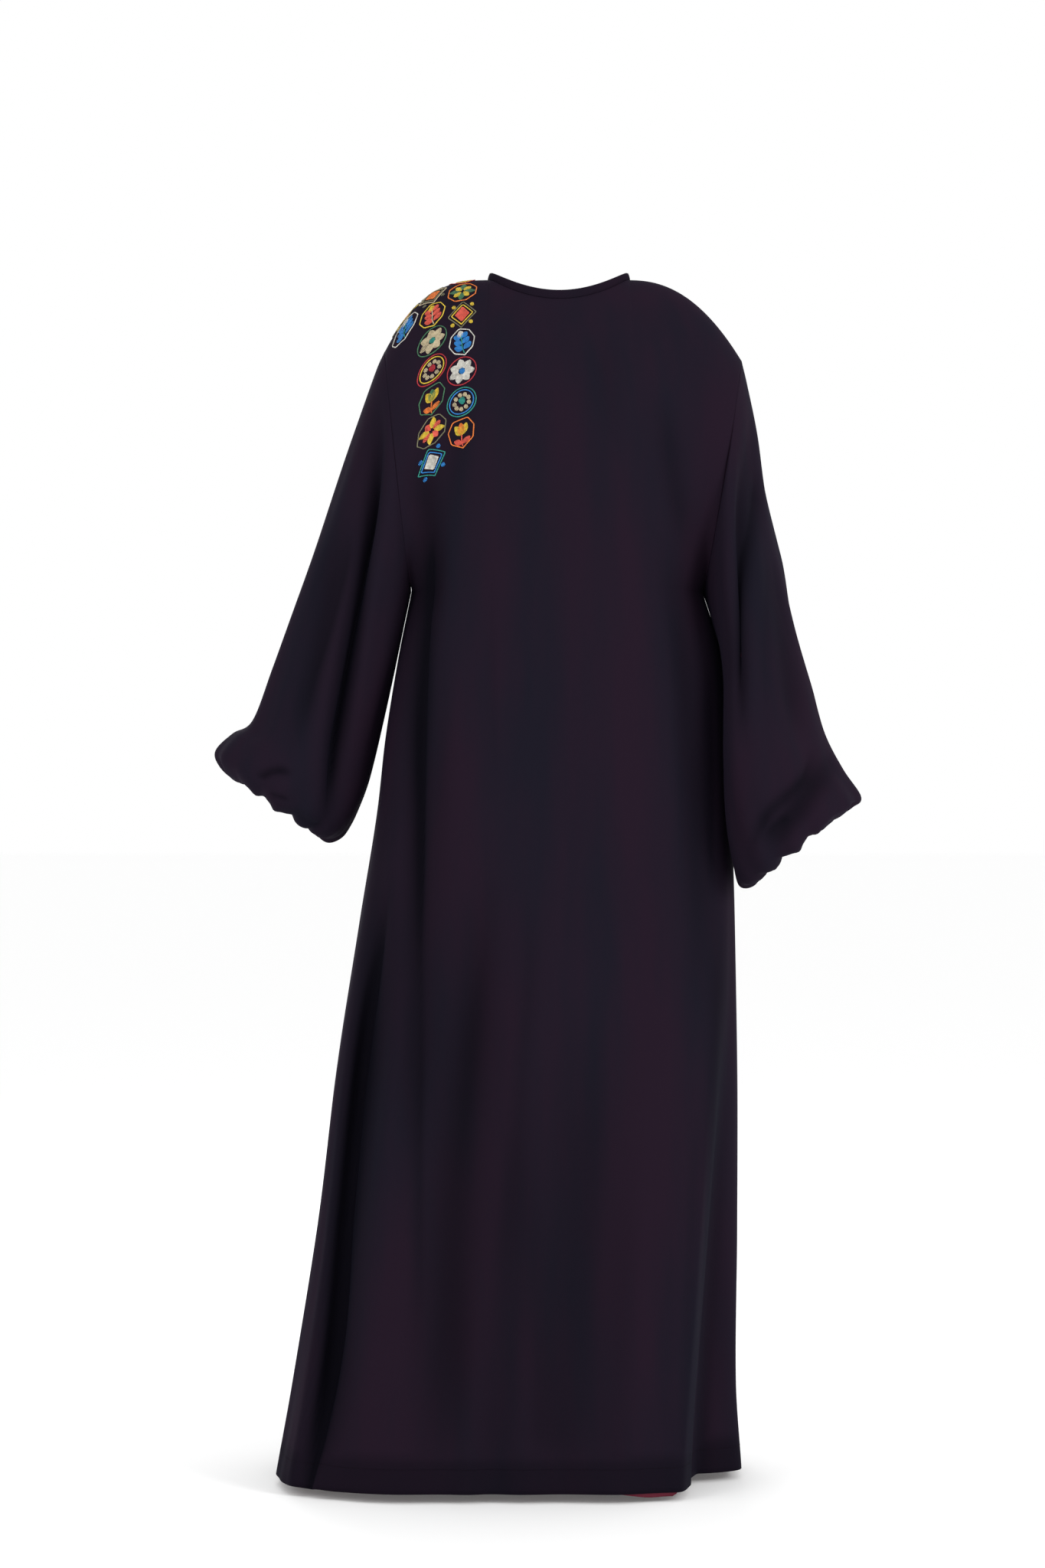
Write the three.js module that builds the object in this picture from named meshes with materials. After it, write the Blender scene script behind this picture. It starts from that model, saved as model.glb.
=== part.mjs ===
// A worn abaya: a long, loose robe with a round neck, an overlapped front, deep armholes and bishop sleeves that are
// gathered into narrow elastic cuffs. It is hollow, as cloth is on a wearer, and open at the neck, hem and cuffs.
// Millimetres, +Z up. The front faces -Y and the wearer's left is +X. The origin lies between the two points where the
// shoulder seams meet the neck, at their height, which is where a wearer carries the robe.

import * as THREE from "three";

// Cloth and seams
const WALL = 2; // crepe over its lining, taken as one wall
const SEAM = 0.3; // gap between two pieces at a seam
const FRONT_OVERLAP = 36; // width by which the right front laps over the left one
const FRONT_WIDTH = 560; // both fronts together, once round from side seam to side seam
const LAP_CLEARANCE = 1.6; // air between the two fronts where they lap
const LAP_EASE = 45; // stretch over which the lapped front comes back to the body

// Shoulders, neck and armholes
const NECK_HALF = 85;
const NECK_TOP = 8;
const NECK_BACK = { reach: 62, drop: 28 };
const NECK_FRONT = { reach: 82, drop: 85 };
// Ends of the shoulder seams. The wearer's right shoulder is carried lower. round is the power of the curve to the tip.
const SHOULDERS = {
  left: { x: 212, z: -79, round: 2.8 },
  right: { x: -222, z: -90, round: 2.3 },
};
const ARMHOLE_HALF_DEPTH = 88;
const YOKE_ROUND = 3; // how late the back and chest curve in towards the shoulder seam

// Level sections of the robe from underarm to hem: reach to the wearer's left, right, back and front, and how square.
const SECTIONS = [
  { name: "underarm", z: -373, left: 180, right: -175, back: 122, front: 136, square: 2.6 },
  { name: "ribs", z: -453, left: 196, right: -199, back: 124, front: 134, square: 2.7 },
  { name: "waist", z: -546, left: 211, right: -207, back: 127, front: 132, square: 2.8 },
  { name: "high hip", z: -640, left: 222, right: -210, back: 132, front: 137, square: 2.9 },
  { name: "hip", z: -771, left: 243, right: -213, back: 141, front: 147, square: 3.0 },
  { name: "thigh", z: -958, left: 271, right: -215, back: 153, front: 160, square: 3.1 },
  { name: "knee", z: -1145, left: 293, right: -214, back: 165, front: 174, square: 3.2 },
  { name: "calf", z: -1331, left: 322, right: -213, back: 177, front: 190, square: 3.4 },
  { name: "hem", z: -1438, left: 342, right: -221, back: 184, front: 200, square: 3.5 },
];
const UNDERARM = SECTIONS[0];
const HEM = SECTIONS[SECTIONS.length - 1];

// At the right back the cloth is pushed in beyond a line from (x0, z0) to (x1, z1): it keeps this share of its depth.
const PUSHED_IN = { face: 1, x0: -199, z0: -690, x1: -160, z1: -1448, keeps: 0.32, width: 26 };

// Folds are troughs along a line, seen square on from the back or the front: from (x0, z0) to (x1, z1), with the
// depth and half width of the trough. A fold that runs off the hem ends below it.
const BODY_FOLDS = [
  { name: "left side", face: 1, x0: 203, z0: -690, x1: 291, z1: -1475, depth: 34, width: 19 },
  { name: "left back corner", face: 1, x0: 156, z0: -395, x1: 176, z1: -1080, depth: 13, width: 26 },
  { name: "left of centre", face: 1, x0: 84, z0: -640, x1: 150, z1: -1500, depth: 13, width: 36 },
  { name: "near centre", face: 1, x0: 46, z0: -930, x1: 84, z1: -1520, depth: 8, width: 22 },
  { name: "right of centre", face: 1, x0: -32, z0: -840, x1: 4, z1: -1520, depth: 10, width: 44 },
  { name: "front left side", face: -1, x0: 206, z0: -700, x1: 288, z1: -1475, depth: 30, width: 22 },
  { name: "front left", face: -1, x0: 118, z0: -560, x1: 168, z1: -1500, depth: 16, width: 32 },
  { name: "front left of centre", face: -1, x0: 62, z0: -860, x1: 104, z1: -1520, depth: 9, width: 22 },
  { name: "front right of centre", face: -1, x0: -68, z0: -620, x1: -52, z1: -1500, depth: 13, width: 30 },
  { name: "front right side", face: -1, x0: -168, z0: -690, x1: -166, z1: -1475, depth: 34, width: 26 },
];

// Sections across each sleeve from armhole to cuff: its outer and inner point seen from the back, its half depth and
// middle from front to back, and how far its back leans towards the body and its front away from it. The last rows turn
// under, where the full sleeve hangs over its cuff.
const LEFT_SLEEVE = [
  { name: "armhole", outX: 212, outZ: -79, inX: 180, inZ: -373, deep: 88, mid: 0, lean: 0 },
  { name: "cap", outX: 223, outZ: -104, inX: 184, inZ: -386, deep: 90, mid: 0, lean: 0 },
  { name: "upper arm", outX: 247, outZ: -173, inX: 187.5, inZ: -405, deep: 88, mid: 0, lean: 0 },
  { name: "above elbow", outX: 273, outZ: -248, inX: 198, inZ: -453, deep: 84, mid: -2, lean: 0 },
  { name: "elbow", outX: 299, outZ: -323, inX: 208.5, inZ: -497, deep: 80, mid: -5, lean: 0 },
  { name: "below elbow", outX: 326, outZ: -398, inX: 219, inZ: -540, deep: 78, mid: -8, lean: 0 },
  { name: "forearm", outX: 350, outZ: -465, inX: 227, inZ: -575, deep: 79, mid: -11, lean: 0 },
  { name: "low forearm", outX: 374, outZ: -528, inX: 234, inZ: -606, deep: 84, mid: -14, lean: 0 },
  { name: "shoulder of the puff", outX: 398, outZ: -545, inX: 242, inZ: -632, deep: 90, mid: -17, lean: 0 },
  { name: "fullest", outX: 418, outZ: -566, inX: 253, inZ: -655, deep: 92, mid: -20, lean: 0 },
  { name: "underside", outX: 413, outZ: -583, inX: 266, inZ: -671, deep: 85, mid: -22, lean: 0 },
  { name: "turn", outX: 398, outZ: -596, inX: 284, inZ: -675, deep: 67, mid: -23, lean: 0 },
  { name: "inside", outX: 383, outZ: -597, inX: 299, inZ: -657, deep: 46, mid: -24, lean: 0 },
  { name: "cuff seam", outX: 368, outZ: -584, inX: 308, inZ: -624, deep: 32, mid: -24, lean: 0 },
];
const RIGHT_SLEEVE = [
  { name: "armhole", outX: -222, outZ: -90, inX: -175, inZ: -373, deep: 88, mid: 0, lean: 0 },
  { name: "cap", outX: -229, outZ: -119, inX: -179.5, inZ: -387, deep: 91, mid: 4, lean: 1 },
  { name: "upper arm", outX: -240, outZ: -180, inX: -187, inZ: -412, deep: 90, mid: 14, lean: 6 },
  { name: "above elbow", outX: -249, outZ: -255, inX: -197, inZ: -452, deep: 86, mid: 30, lean: 16 },
  { name: "elbow", outX: -266, outZ: -340, inX: -201, inZ: -492, deep: 84, mid: 44, lean: 24 },
  { name: "below elbow", outX: -285, outZ: -420, inX: -202, inZ: -538, deep: 83, mid: 52, lean: 28 },
  { name: "forearm", outX: -303, outZ: -485, inX: -202.5, inZ: -585, deep: 84, mid: 56, lean: 29 },
  { name: "low forearm", outX: -319, outZ: -546, inX: -203.5, inZ: -630, deep: 88, mid: 59, lean: 28 },
  { name: "shoulder of the puff", outX: -339, outZ: -588, inX: -206, inZ: -672, deep: 92, mid: 60, lean: 24 },
  { name: "fullest", outX: -360, outZ: -621, inX: -210, inZ: -710, deep: 90, mid: 60, lean: 15 },
  { name: "underside", outX: -352, outZ: -631, inX: -218, inZ: -729, deep: 82, mid: 60, lean: 8 },
  { name: "turn", outX: -336, outZ: -640, inX: -234, inZ: -725, deep: 64, mid: 60, lean: 4 },
  { name: "inside", outX: -318, outZ: -642, inX: -244, inZ: -702, deep: 46, mid: 60, lean: 1 },
  { name: "cuff seam", outX: -298, outZ: -632, inX: -248, inZ: -668, deep: 31, mid: 60, lean: 0 },
];
const SLEEVE_FOLDS = {
  left: [
    { name: "long back fold", face: 1, x0: 209, z0: -105, x1: 279, z1: -668, depth: 24, width: 12 },
    { name: "outer back fold", face: 1, x0: 258, z0: -265, x1: 322, z1: -575, depth: 8, width: 15 },
    { name: "long front fold", face: -1, x0: 214, z0: -130, x1: 292, z1: -655, depth: 20, width: 14 },
    { name: "outer front fold", face: -1, x0: 262, z0: -300, x1: 345, z1: -580, depth: 9, width: 15 },
  ],
  right: [
    { name: "inner back fold", face: 1, x0: -233, z0: -140, x1: -205, z1: -560, depth: 15, width: 13 },
    { name: "drape to the cuff", face: 1, x0: -338, z0: -560, x1: -240, z1: -690, depth: 16, width: 15 },
    { name: "outer back fold", face: 1, x0: -256, z0: -300, x1: -284, z1: -560, depth: 6, width: 16 },
    { name: "long front fold", face: -1, x0: -228, z0: -150, x1: -250, z1: -640, depth: 18, width: 14 },
    { name: "outer front fold", face: -1, x0: -268, z0: -330, x1: -318, z1: -600, depth: 8, width: 15 },
  ],
};

// Gathers where the sleeve goes into its cuff
const GATHERS = 12;
const GATHER_HEIGHT = [0, 0, 0, 0, 0, 0, 0, 0, 0.6, 1.8, 3.4, 4.4, 3.8, 2]; // for each section of the sleeve
const CUFF_LENGTH = 24;

// The lining shows as a sliver where it drops below the back hem, to the right of the centre.
const LINING_HEIGHT = 90;
const LINING_WALL = 1.2;
const LINING_GAP = 0.8;
const LINING_SHY = 3; // how far it stops above the hem elsewhere
const LINING_DROP = 5;
const LINING_SLIVER = { from: -36, to: -136 };
const NECK_BAND = { height: 8, wall: 2.6 };

// How finely the cloth is divided
const PANEL_COLUMNS = 36;
const SHOULDER_COLUMNS = 11; // those that end on each shoulder seam
const SHOULDER_SHARE = SHOULDER_COLUMNS / PANEL_COLUMNS;
const SKIRT_ROWS = 13;
const YOKE_ROWS = 12;
const SLEEVE_COLUMNS = 2 * YOKE_ROWS;
const FINE_FROM = 7; // sleeve section from which the columns are doubled
const TINY = 0.002; // step for slopes
const SCAN = 360; // steps for measuring along a curve

const CLOTH = { color: 0x2a1d2b, roughness: 0.82, metalness: 0 };
const LINING = { color: 0x6e2436, roughness: 0.75, metalness: 0 };

const clamp = THREE.MathUtils.clamp;
const lerp = THREE.MathUtils.lerp;
const smoothstep = THREE.MathUtils.smoothstep;
const bell = (d, width) => Math.exp(-((d / width) ** 2));

// A smooth curve through one column of a table, read at a value of another column.
function curveOf(rows, along, value) {
  const x = rows.map(along);
  const y = rows.map(value);
  const slope = (i) => {
    const a = Math.max(i - 1, 0);
    const b = Math.min(i + 1, x.length - 1);
    return (y[b] - y[a]) / (x[b] - x[a]);
  };
  return (at) => {
    let i = 0;
    while (i < x.length - 2 && (at - x[i + 1]) * Math.sign(x[1] - x[0]) > 0) i++;
    const span = x[i + 1] - x[i];
    const t = clamp((at - x[i]) / span, 0, 1);
    const t2 = t * t;
    const t3 = t2 * t;
    return (
      (2 * t3 - 3 * t2 + 1) * y[i] +
      (t3 - 2 * t2 + t) * span * slope(i) +
      (3 * t2 - 2 * t3) * y[i + 1] +
      (t3 - t2) * span * slope(i + 1)
    );
  };
}

// How strong one fold is at a point, from 0 to 1 at the middle of its trough.
function foldShare(fold, x, z) {
  const dx = fold.x1 - fold.x0;
  const dz = fold.z1 - fold.z0;
  const length = Math.hypot(dx, dz);
  const along = ((x - fold.x0) * dx + (z - fold.z0) * dz) / length ** 2;
  const across = ((x - fold.x0) * dz - (z - fold.z0) * dx) / length;
  const ends = smoothstep(along, 0, 0.45) * (1 - smoothstep(along, 0.94, 1.12));
  return ends * bell(across, fold.width);
}

// Depth of all the folds of one face at a point.
function foldDepth(folds, face, x, z) {
  let depth = 0;
  for (const fold of folds) if (fold.face === face) depth += fold.depth * foldShare(fold, x, z);
  return depth;
}

// Body of the robe: a level ring at height z, read at an angle counted from the wearer's left towards the back.
const section = {};
for (const key of ["left", "right", "back", "front", "square"])
  section[key] = curveOf(SECTIONS, (s) => s.z, (s) => s[key]);

function ringPoint(angle, z) {
  const half = (section.left(z) - section.right(z)) / 2;
  const middle = (section.left(z) + section.right(z)) / 2;
  const deep = Math.sin(angle) > 0 ? section.back(z) : section.front(z);
  const n = section.square(z);
  const r = (Math.abs(Math.cos(angle) / half) ** n + Math.abs(Math.sin(angle) / deep) ** n) ** (-1 / n);
  return new THREE.Vector3(middle + r * Math.cos(angle), r * Math.sin(angle), z);
}

function bodyPoint(angle, z) {
  const p = ringPoint(angle, z);
  const face = Math.sign(Math.sin(angle));
  const deep = Math.abs(p.y);
  let kept = 1;
  if (face === PUSHED_IN.face) {
    const down = (PUSHED_IN.z0 - z) / (PUSHED_IN.z0 - PUSHED_IN.z1);
    const beyond = lerp(PUSHED_IN.x0, PUSHED_IN.x1, down) - p.x;
    kept = lerp(1, PUSHED_IN.keeps, smoothstep(down, 0, 0.8) * smoothstep(beyond, 0, PUSHED_IN.width));
  }
  const fold = foldDepth(BODY_FOLDS, face, p.x, z) * smoothstep(deep, 0, 40);
  p.y = face * (deep * kept - fold);
  return p;
}

// Angles for equal shares of a half ring, measured along its folds.
function columnAngles(face, z) {
  const start = face > 0 ? 0 : Math.PI;
  const sums = [0];
  let last = bodyPoint(start + TINY, z);
  for (let i = 1; i <= SCAN; i++) {
    const p = bodyPoint(start + (Math.PI * (i - 0.5)) / SCAN, z);
    sums.push(sums[i - 1] + p.distanceTo(last));
    last = p;
  }
  return (u) => {
    const wanted = clamp(u, 0, 1) * sums[SCAN];
    let i = 1;
    while (i < SCAN && sums[i] < wanted) i++;
    return start + (Math.PI * (i - 1 + (wanted - sums[i - 1]) / (sums[i] - sums[i - 1]))) / SCAN;
  };
}
const angleCache = new Map();
function columnAngle(face, u, z) {
  const key = face + ":" + z.toFixed(4);
  if (!angleCache.has(key)) angleCache.set(key, columnAngles(face, z));
  return angleCache.get(key)(u);
}

// Top edge of a back or front panel: shoulder seam, neckline, shoulder seam. u runs from the wearer's left.
function topEdge(face, u) {
  const neck = face > 0 ? NECK_BACK : NECK_FRONT;
  const fromLeft = Math.min(u, 1 - u);
  const side = u < 0.5 ? 1 : -1;
  const tip = u < 0.5 ? SHOULDERS.left : SHOULDERS.right;
  if (fromLeft < SHOULDER_SHARE) {
    const out = 1 - fromLeft / SHOULDER_SHARE;
    return new THREE.Vector3(lerp(side * NECK_HALF, tip.x, out), 0, lerp(NECK_TOP, tip.z, out ** tip.round));
  }
  const turn = (Math.PI * (u - SHOULDER_SHARE)) / (1 - 2 * SHOULDER_SHARE);
  const reach = Math.sin(turn);
  return new THREE.Vector3(NECK_HALF * Math.cos(turn), face * neck.reach * reach, NECK_TOP - neck.drop * reach ** 2);
}

// A back or front panel: v is 0 at the hem, 1 at the underarm and 2 at the shoulder seams and neckline. u runs
// counter-clockwise seen from above, so from the wearer's left on the back and from the right on the front.
function panelPoint(face, u, v) {
  if (v <= 1) {
    const z = lerp(HEM.z, UNDERARM.z, v);
    const p = bodyPoint(columnAngle(face, u, z), z);
    p.y += (face * SEAM) / 2;
    return p;
  }
  const top = topEdge(face, face > 0 ? u : 1 - u);
  const low = ringPoint(columnAngle(face, u, UNDERARM.z), UNDERARM.z);
  const h = (1 - Math.cos(Math.PI * Math.min(v - 1, 1))) / 2;
  const deep = face > 0 ? UNDERARM.back : UNDERARM.front;
  const besideArm = Math.max(0, 1 - (low.y / deep) ** 2);
  const armhole = besideArm * ARMHOLE_HALF_DEPTH * 2 * Math.sqrt(h * (1 - h));
  const neckShare = Math.abs(top.y) / (face > 0 ? NECK_BACK : NECK_FRONT).reach;
  const curve = (Math.abs(low.y) - Math.abs(top.y)) * Math.max(0, 1 - h ** YOKE_ROUND) ** lerp(0.5, 0.9, neckShare);
  return new THREE.Vector3(
    lerp(low.x, top.x, h),
    face * (Math.abs(top.y) + Math.hypot(curve, armhole) + SEAM / 2),
    lerp(UNDERARM.z, top.z, h),
  );
}

// Moves each point of a grid along its normal, which is found from its neighbours. Points at a seam stay in the plane
// of that seam.
function moved(rows, distance, seams) {
  return rows.map((row, i) =>
    row.map((p, j) => {
      const du = row[Math.min(j + 1, row.length - 1)].clone().sub(row[Math.max(j - 1, 0)]);
      const dv = rows[Math.min(i + 1, rows.length - 1)][j].clone().sub(rows[Math.max(i - 1, 0)][j]);
      const way = du.cross(dv).normalize().multiplyScalar(distance(i, j));
      return p.clone().add(seams ? seams(i, j, way) : way);
    }));
}

// Faces and corners of one piece of cloth
class Skin {
  constructor() {
    this.corners = [];
    this.faces = [];
  }
  row(points) {
    return points.map((p) => this.corners.push(p.x, p.y, p.z) / 3 - 1);
  }
  face(a, b, c) {
    this.faces.push(a, b, c);
  }
  // A strip between two rows. Where the second row has twice as many points, each cell takes three triangles.
  strip(low, high, closed) {
    const double = high.length > low.length + 1;
    const cells = closed ? low.length : low.length - 1;
    for (let i = 0; i < cells; i++) {
      const a = low[i];
      const b = low[(i + 1) % low.length];
      if (double) {
        const [c, d, e] = [0, 1, 2].map((k) => high[(2 * i + k) % high.length]);
        this.face(a, d, c);
        this.face(a, b, d);
        this.face(b, e, d);
      } else {
        const c = high[i];
        const d = high[(i + 1) % high.length];
        this.face(a, b, d);
        this.face(a, d, c);
      }
    }
  }
  geometry(flip) {
    const g = new THREE.BufferGeometry();
    g.setAttribute("position", new THREE.Float32BufferAttribute(this.corners, 3));
    if (flip) for (let i = 0; i < this.faces.length; i += 3)
      [this.faces[i + 1], this.faces[i + 2]] = [this.faces[i + 2], this.faces[i + 1]];
    g.setIndex(this.faces);
    g.computeVertexNormals();
    return g;
  }
}

// A wall of cloth between an outer and an inner set of rows, closed at its edges.
function wallBetween(outerRows, innerRows, closed, flip) {
  const skin = new Skin();
  const outer = outerRows.map((r) => skin.row(r));
  const inner = innerRows.map((r) => skin.row(r));
  const last = outer.length - 1;
  for (let i = 0; i < last; i++) {
    skin.strip(outer[i], outer[i + 1], closed);
    const before = skin.faces.length;
    skin.strip(inner[i], inner[i + 1], closed);
    for (let k = before; k < skin.faces.length; k += 3)
      [skin.faces[k + 1], skin.faces[k + 2]] = [skin.faces[k + 2], skin.faces[k + 1]];
  }
  skin.strip(inner[0], outer[0], closed);
  skin.strip(outer[last], inner[last], closed);
  if (!closed) {
    const end = outer[0].length - 1;
    skin.strip(outer.map((r) => r[0]), inner.map((r) => r[0]), false);
    skin.strip(inner.map((r) => r[end]), outer.map((r) => r[end]), false);
  }
  return skin.geometry(flip);
}

function piece(name, geometry, look) {
  const mesh = new THREE.Mesh(geometry, new THREE.MeshStandardMaterial(look));
  mesh.name = name;
  return mesh;
}

// Levels of a panel: the second one is the top of the lining, and the last ones lie over the shoulders.
const liningTop = LINING_HEIGHT / (UNDERARM.z - HEM.z);
const LEVELS = [0];
for (let i = 0; i < SKIRT_ROWS; i++) LEVELS.push(lerp(liningTop, 1, i / (SKIRT_ROWS - 1)));
for (let i = 1; i <= YOKE_ROWS; i++) LEVELS.push(1 + i / YOKE_ROWS);

// Columns of the back, and of the two fronts, which share their columns where they lap.
const LAP = FRONT_OVERLAP / 2 / FRONT_WIDTH;
const even = (from, to, count) => Array.from({ length: count + 1 }, (_, i) => lerp(from, to, i / count));
const toLap = [
  ...even(0, SHOULDER_SHARE, SHOULDER_COLUMNS),
  ...even(SHOULDER_SHARE, 0.5 - LAP, PANEL_COLUMNS / 2 - 1 - SHOULDER_COLUMNS).slice(1),
];
const COLUMNS = {
  back: even(0, 1, PANEL_COLUMNS),
  right: [...toLap, 0.5, 0.5 + LAP],
  left: [0.5 - LAP, 0.5, ...toLap.map((u) => 1 - u).reverse()],
};

// At the armhole the wall doesn't reach into the sleeve, and at the side and shoulder seams it doesn't reach past them.
const armholePlane = (tip, underarm) => {
  const out = Math.sign(tip.x);
  return new THREE.Vector3(out * (tip.z - UNDERARM.z), 0, out * (underarm - tip.x)).normalize();
};
const ARMHOLE_PLANES = [armholePlane(SHOULDERS.left, UNDERARM.left), armholePlane(SHOULDERS.right, UNDERARM.right)];
function panelSeams(columns, face) {
  return (i, j, way) => {
    const u = face > 0 ? columns[j] : 1 - columns[j];
    const v = LEVELS[i];
    const atSide = u === 0 || u === 1;
    const atShoulder = v === 2 && Math.min(u, 1 - u) <= SHOULDER_SHARE;
    if ((atSide && v <= 1) || atShoulder) way.y = 0;
    if (atSide && v > 1) {
      const plane = ARMHOLE_PLANES[u === 0 ? 0 : 1];
      way.addScaledVector(plane, -Math.max(0, way.dot(plane)));
    }
    return way;
  };
}

// Outer and inner rows of each panel
function panelRows(face, columns, lift) {
  const base = LEVELS.map((v) => columns.map((u) => panelPoint(face, u, v)));
  const seams = panelSeams(columns, face);
  const outer = lift ? moved(base, (i, j) => lift(columns[j]), seams) : base;
  return { outer, inner: moved(outer, () => -WALL, seams) };
}
const lapLift = (u) =>
  (WALL + LAP_CLEARANCE) * (1 - smoothstep(FRONT_WIDTH * Math.max(0, 0.5 - LAP - u), 0, LAP_EASE));
const BACK = panelRows(1, COLUMNS.back);
const FRONT_RIGHT = panelRows(-1, COLUMNS.right, lapLift);
const FRONT_LEFT = panelRows(-1, COLUMNS.left);

function panel(name, rows) {
  return piece(name, wallBetween(rows.outer, rows.inner, false, false), CLOTH);
}

// One sleeve, and its cuff. t counts the sections; u goes once round from the outer point by way of the back.
function sleeveTools(rows, folds, side) {
  const index = rows.map((r, i) => ({ ...r, i, gather: GATHER_HEIGHT[i] }));
  const at = {};
  for (const key of ["outX", "outZ", "inX", "inZ", "deep", "mid", "lean", "gather"])
    at[key] = curveOf(index, (r) => r.i, (r) => r[key]);

  const oval = (angle, t) => {
    const h = (1 + Math.cos(angle)) / 2;
    return new THREE.Vector3(
      lerp(at.inX(t), at.outX(t), h) + side * (SEAM - at.lean(t) * Math.sin(angle)),
      at.mid(t) + at.deep(t) * Math.sin(angle),
      lerp(at.inZ(t), at.outZ(t), h),
    );
  };
  const outward = (angle, t) => {
    const du = oval(angle + TINY, t).sub(oval(angle - TINY, t));
    const step = t > TINY && t < rows.length - 1 - TINY ? TINY : 0;
    const dt = oval(angle, t + (step || (t < 1 ? TINY : 0))).sub(oval(angle, t - (step || (t < 1 ? 0 : TINY))));
    return dt.cross(du).multiplyScalar(side).normalize();
  };
  const shaped = (angle, t) => {
    const p = oval(angle, t);
    const face = Math.sin(angle) >= 0 ? 1 : -1;
    const away = smoothstep(Math.abs(Math.sin(angle)), 0, 0.3) * smoothstep(t, 0, 1.5) * (1 - smoothstep(t, 9.5, 11.5));
    const wave = at.gather(t) * Math.cos(GATHERS * angle) * (0.85 + 0.15 * Math.cos(3 * angle + 1));
    return p.addScaledVector(outward(angle, t), wave - foldDepth(folds, face, p.x, p.z) * away);
  };
  // Columns are closer together at a fold, and evenly spread at the armhole and at the gathers.
  const spread = (t) => {
    const pull = smoothstep(t, 0, 1) * (1 - smoothstep(t, 8, 10));
    const sums = [0];
    for (let i = 1; i <= SCAN; i++) {
      const angle = (2 * Math.PI * (i - 0.5)) / SCAN;
      const p = oval(angle, t);
      const face = Math.sin(angle) >= 0 ? 1 : -1;
      const share = folds.reduce((sum, f) => sum + (f.face === face ? (f.depth / 9) * foldShare(f, p.x, p.z) : 0), 0);
      sums.push(sums[i - 1] + 1 + share * pull);
    }
    return (u) => {
      const wanted = (u - Math.floor(u)) * sums[SCAN];
      let i = 1;
      while (i < SCAN && sums[i] < wanted) i++;
      return (2 * Math.PI * (i - 1 + (wanted - sums[i - 1]) / (sums[i] - sums[i - 1]))) / SCAN;
    };
  };
  return { at, oval, shaped, spread };
}

// Rows of a closed tube, with the wall's inner rows found from the slopes of the outer ones. The first row's wall
// stays in the plane of that row, so a seam closes flat.
function innerRows(outer, side, wall) {
  const first = outer[0];
  const quarter = Math.round(first.length / 4);
  const seamPlane = first[quarter].clone().sub(first[0]).cross(first[2 * quarter].clone().sub(first[0])).normalize();
  return outer.map((row, i) =>
    row.map((p, j) => {
      const n = row.length;
      const du = row[(j + 1) % n].clone().sub(row[(j + n - 1) % n]);
      const pick = (k) => {
        const other = outer[clamp(k, 0, outer.length - 1)];
        return other[Math.round((j * other.length) / n) % other.length];
      };
      const normal = pick(i + 1).clone().sub(pick(i - 1)).cross(du).normalize();
      if (i === 0) normal.projectOnPlane(seamPlane).normalize();
      return p.clone().addScaledVector(normal, -wall * side);
    }));
}

function sleeve(side, rows, folds, name, cuffName) {
  const tools = sleeveTools(rows, folds, side);
  const levels = [];
  for (let t = 0; t < rows.length - 1; t++) levels.push(t, ...(t < 2 || t > 8 ? [] : [t + 0.5]));
  levels.push(rows.length - 1);
  const outer = levels.map((t) => {
    const n = t >= FINE_FROM ? 2 * SLEEVE_COLUMNS : SLEEVE_COLUMNS;
    const angleAt = tools.spread(t);
    return Array.from({ length: n }, (_, i) => tools.shaped(angleAt(i / n), t));
  });
  const sleeveMesh = piece(name, wallBetween(outer, innerRows(outer, side, WALL), true, side > 0), CLOTH);

  // The cuff goes on from the last ring, square to it.
  const end = rows.length - 1;
  const last = outer[outer.length - 1];
  const across = new THREE.Vector3(tools.at.outX(end) - tools.at.inX(end), 0, tools.at.outZ(end) - tools.at.inZ(end));
  const down = new THREE.Vector3(side * Math.abs(across.z), 0, -Math.abs(across.x)).normalize();
  const cuffRows = [0, 0.5, 1].map((s) =>
    last.map((p) => p.clone().addScaledVector(down, SEAM + 0.2 + s * CUFF_LENGTH)));
  const cuffMesh = piece(cuffName, wallBetween(cuffRows, innerRows(cuffRows, side, WALL), true, side > 0), CLOTH);
  return [sleeveMesh, cuffMesh];
}

// A narrow binding on the neckline, from the under front's edge round the back to the upper front's edge.
function neckBand() {
  const top = LEVELS.length - 1;
  const inNeck = (u) => Math.min(u, 1 - u) >= SHOULDER_SHARE - TINY;
  const edge = (rows, columns) => rows.outer[top].filter((p, j) => inNeck(columns[j]));
  const line = [
    ...edge(FRONT_LEFT, COLUMNS.left),
    ...edge(BACK, COLUMNS.back).slice(1, -1),
    ...edge(FRONT_RIGHT, COLUMNS.right),
  ];
  const outer = [[], []];
  const inner = [[], []];
  for (const p of line) {
    const towardsNeck = new THREE.Vector3(-p.x, -p.y, 0).normalize();
    const rise = new THREE.Vector3(0, 0, 1).addScaledVector(towardsNeck, 0.25).normalize();
    const outwards = towardsNeck.clone().negate().addScaledVector(rise, towardsNeck.dot(rise)).normalize();
    for (const [k, up] of [SEAM + 1, SEAM + 1 + NECK_BAND.height].entries()) {
      const at = p.clone().addScaledVector(outwards, -WALL / 2).addScaledVector(rise, up);
      outer[k].push(at.clone().addScaledVector(outwards, NECK_BAND.wall / 2));
      inner[k].push(at.clone().addScaledVector(outwards, -NECK_BAND.wall / 2));
    }
  }
  return piece("neck_band", wallBetween(outer, inner, false, false), CLOTH);
}

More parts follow.
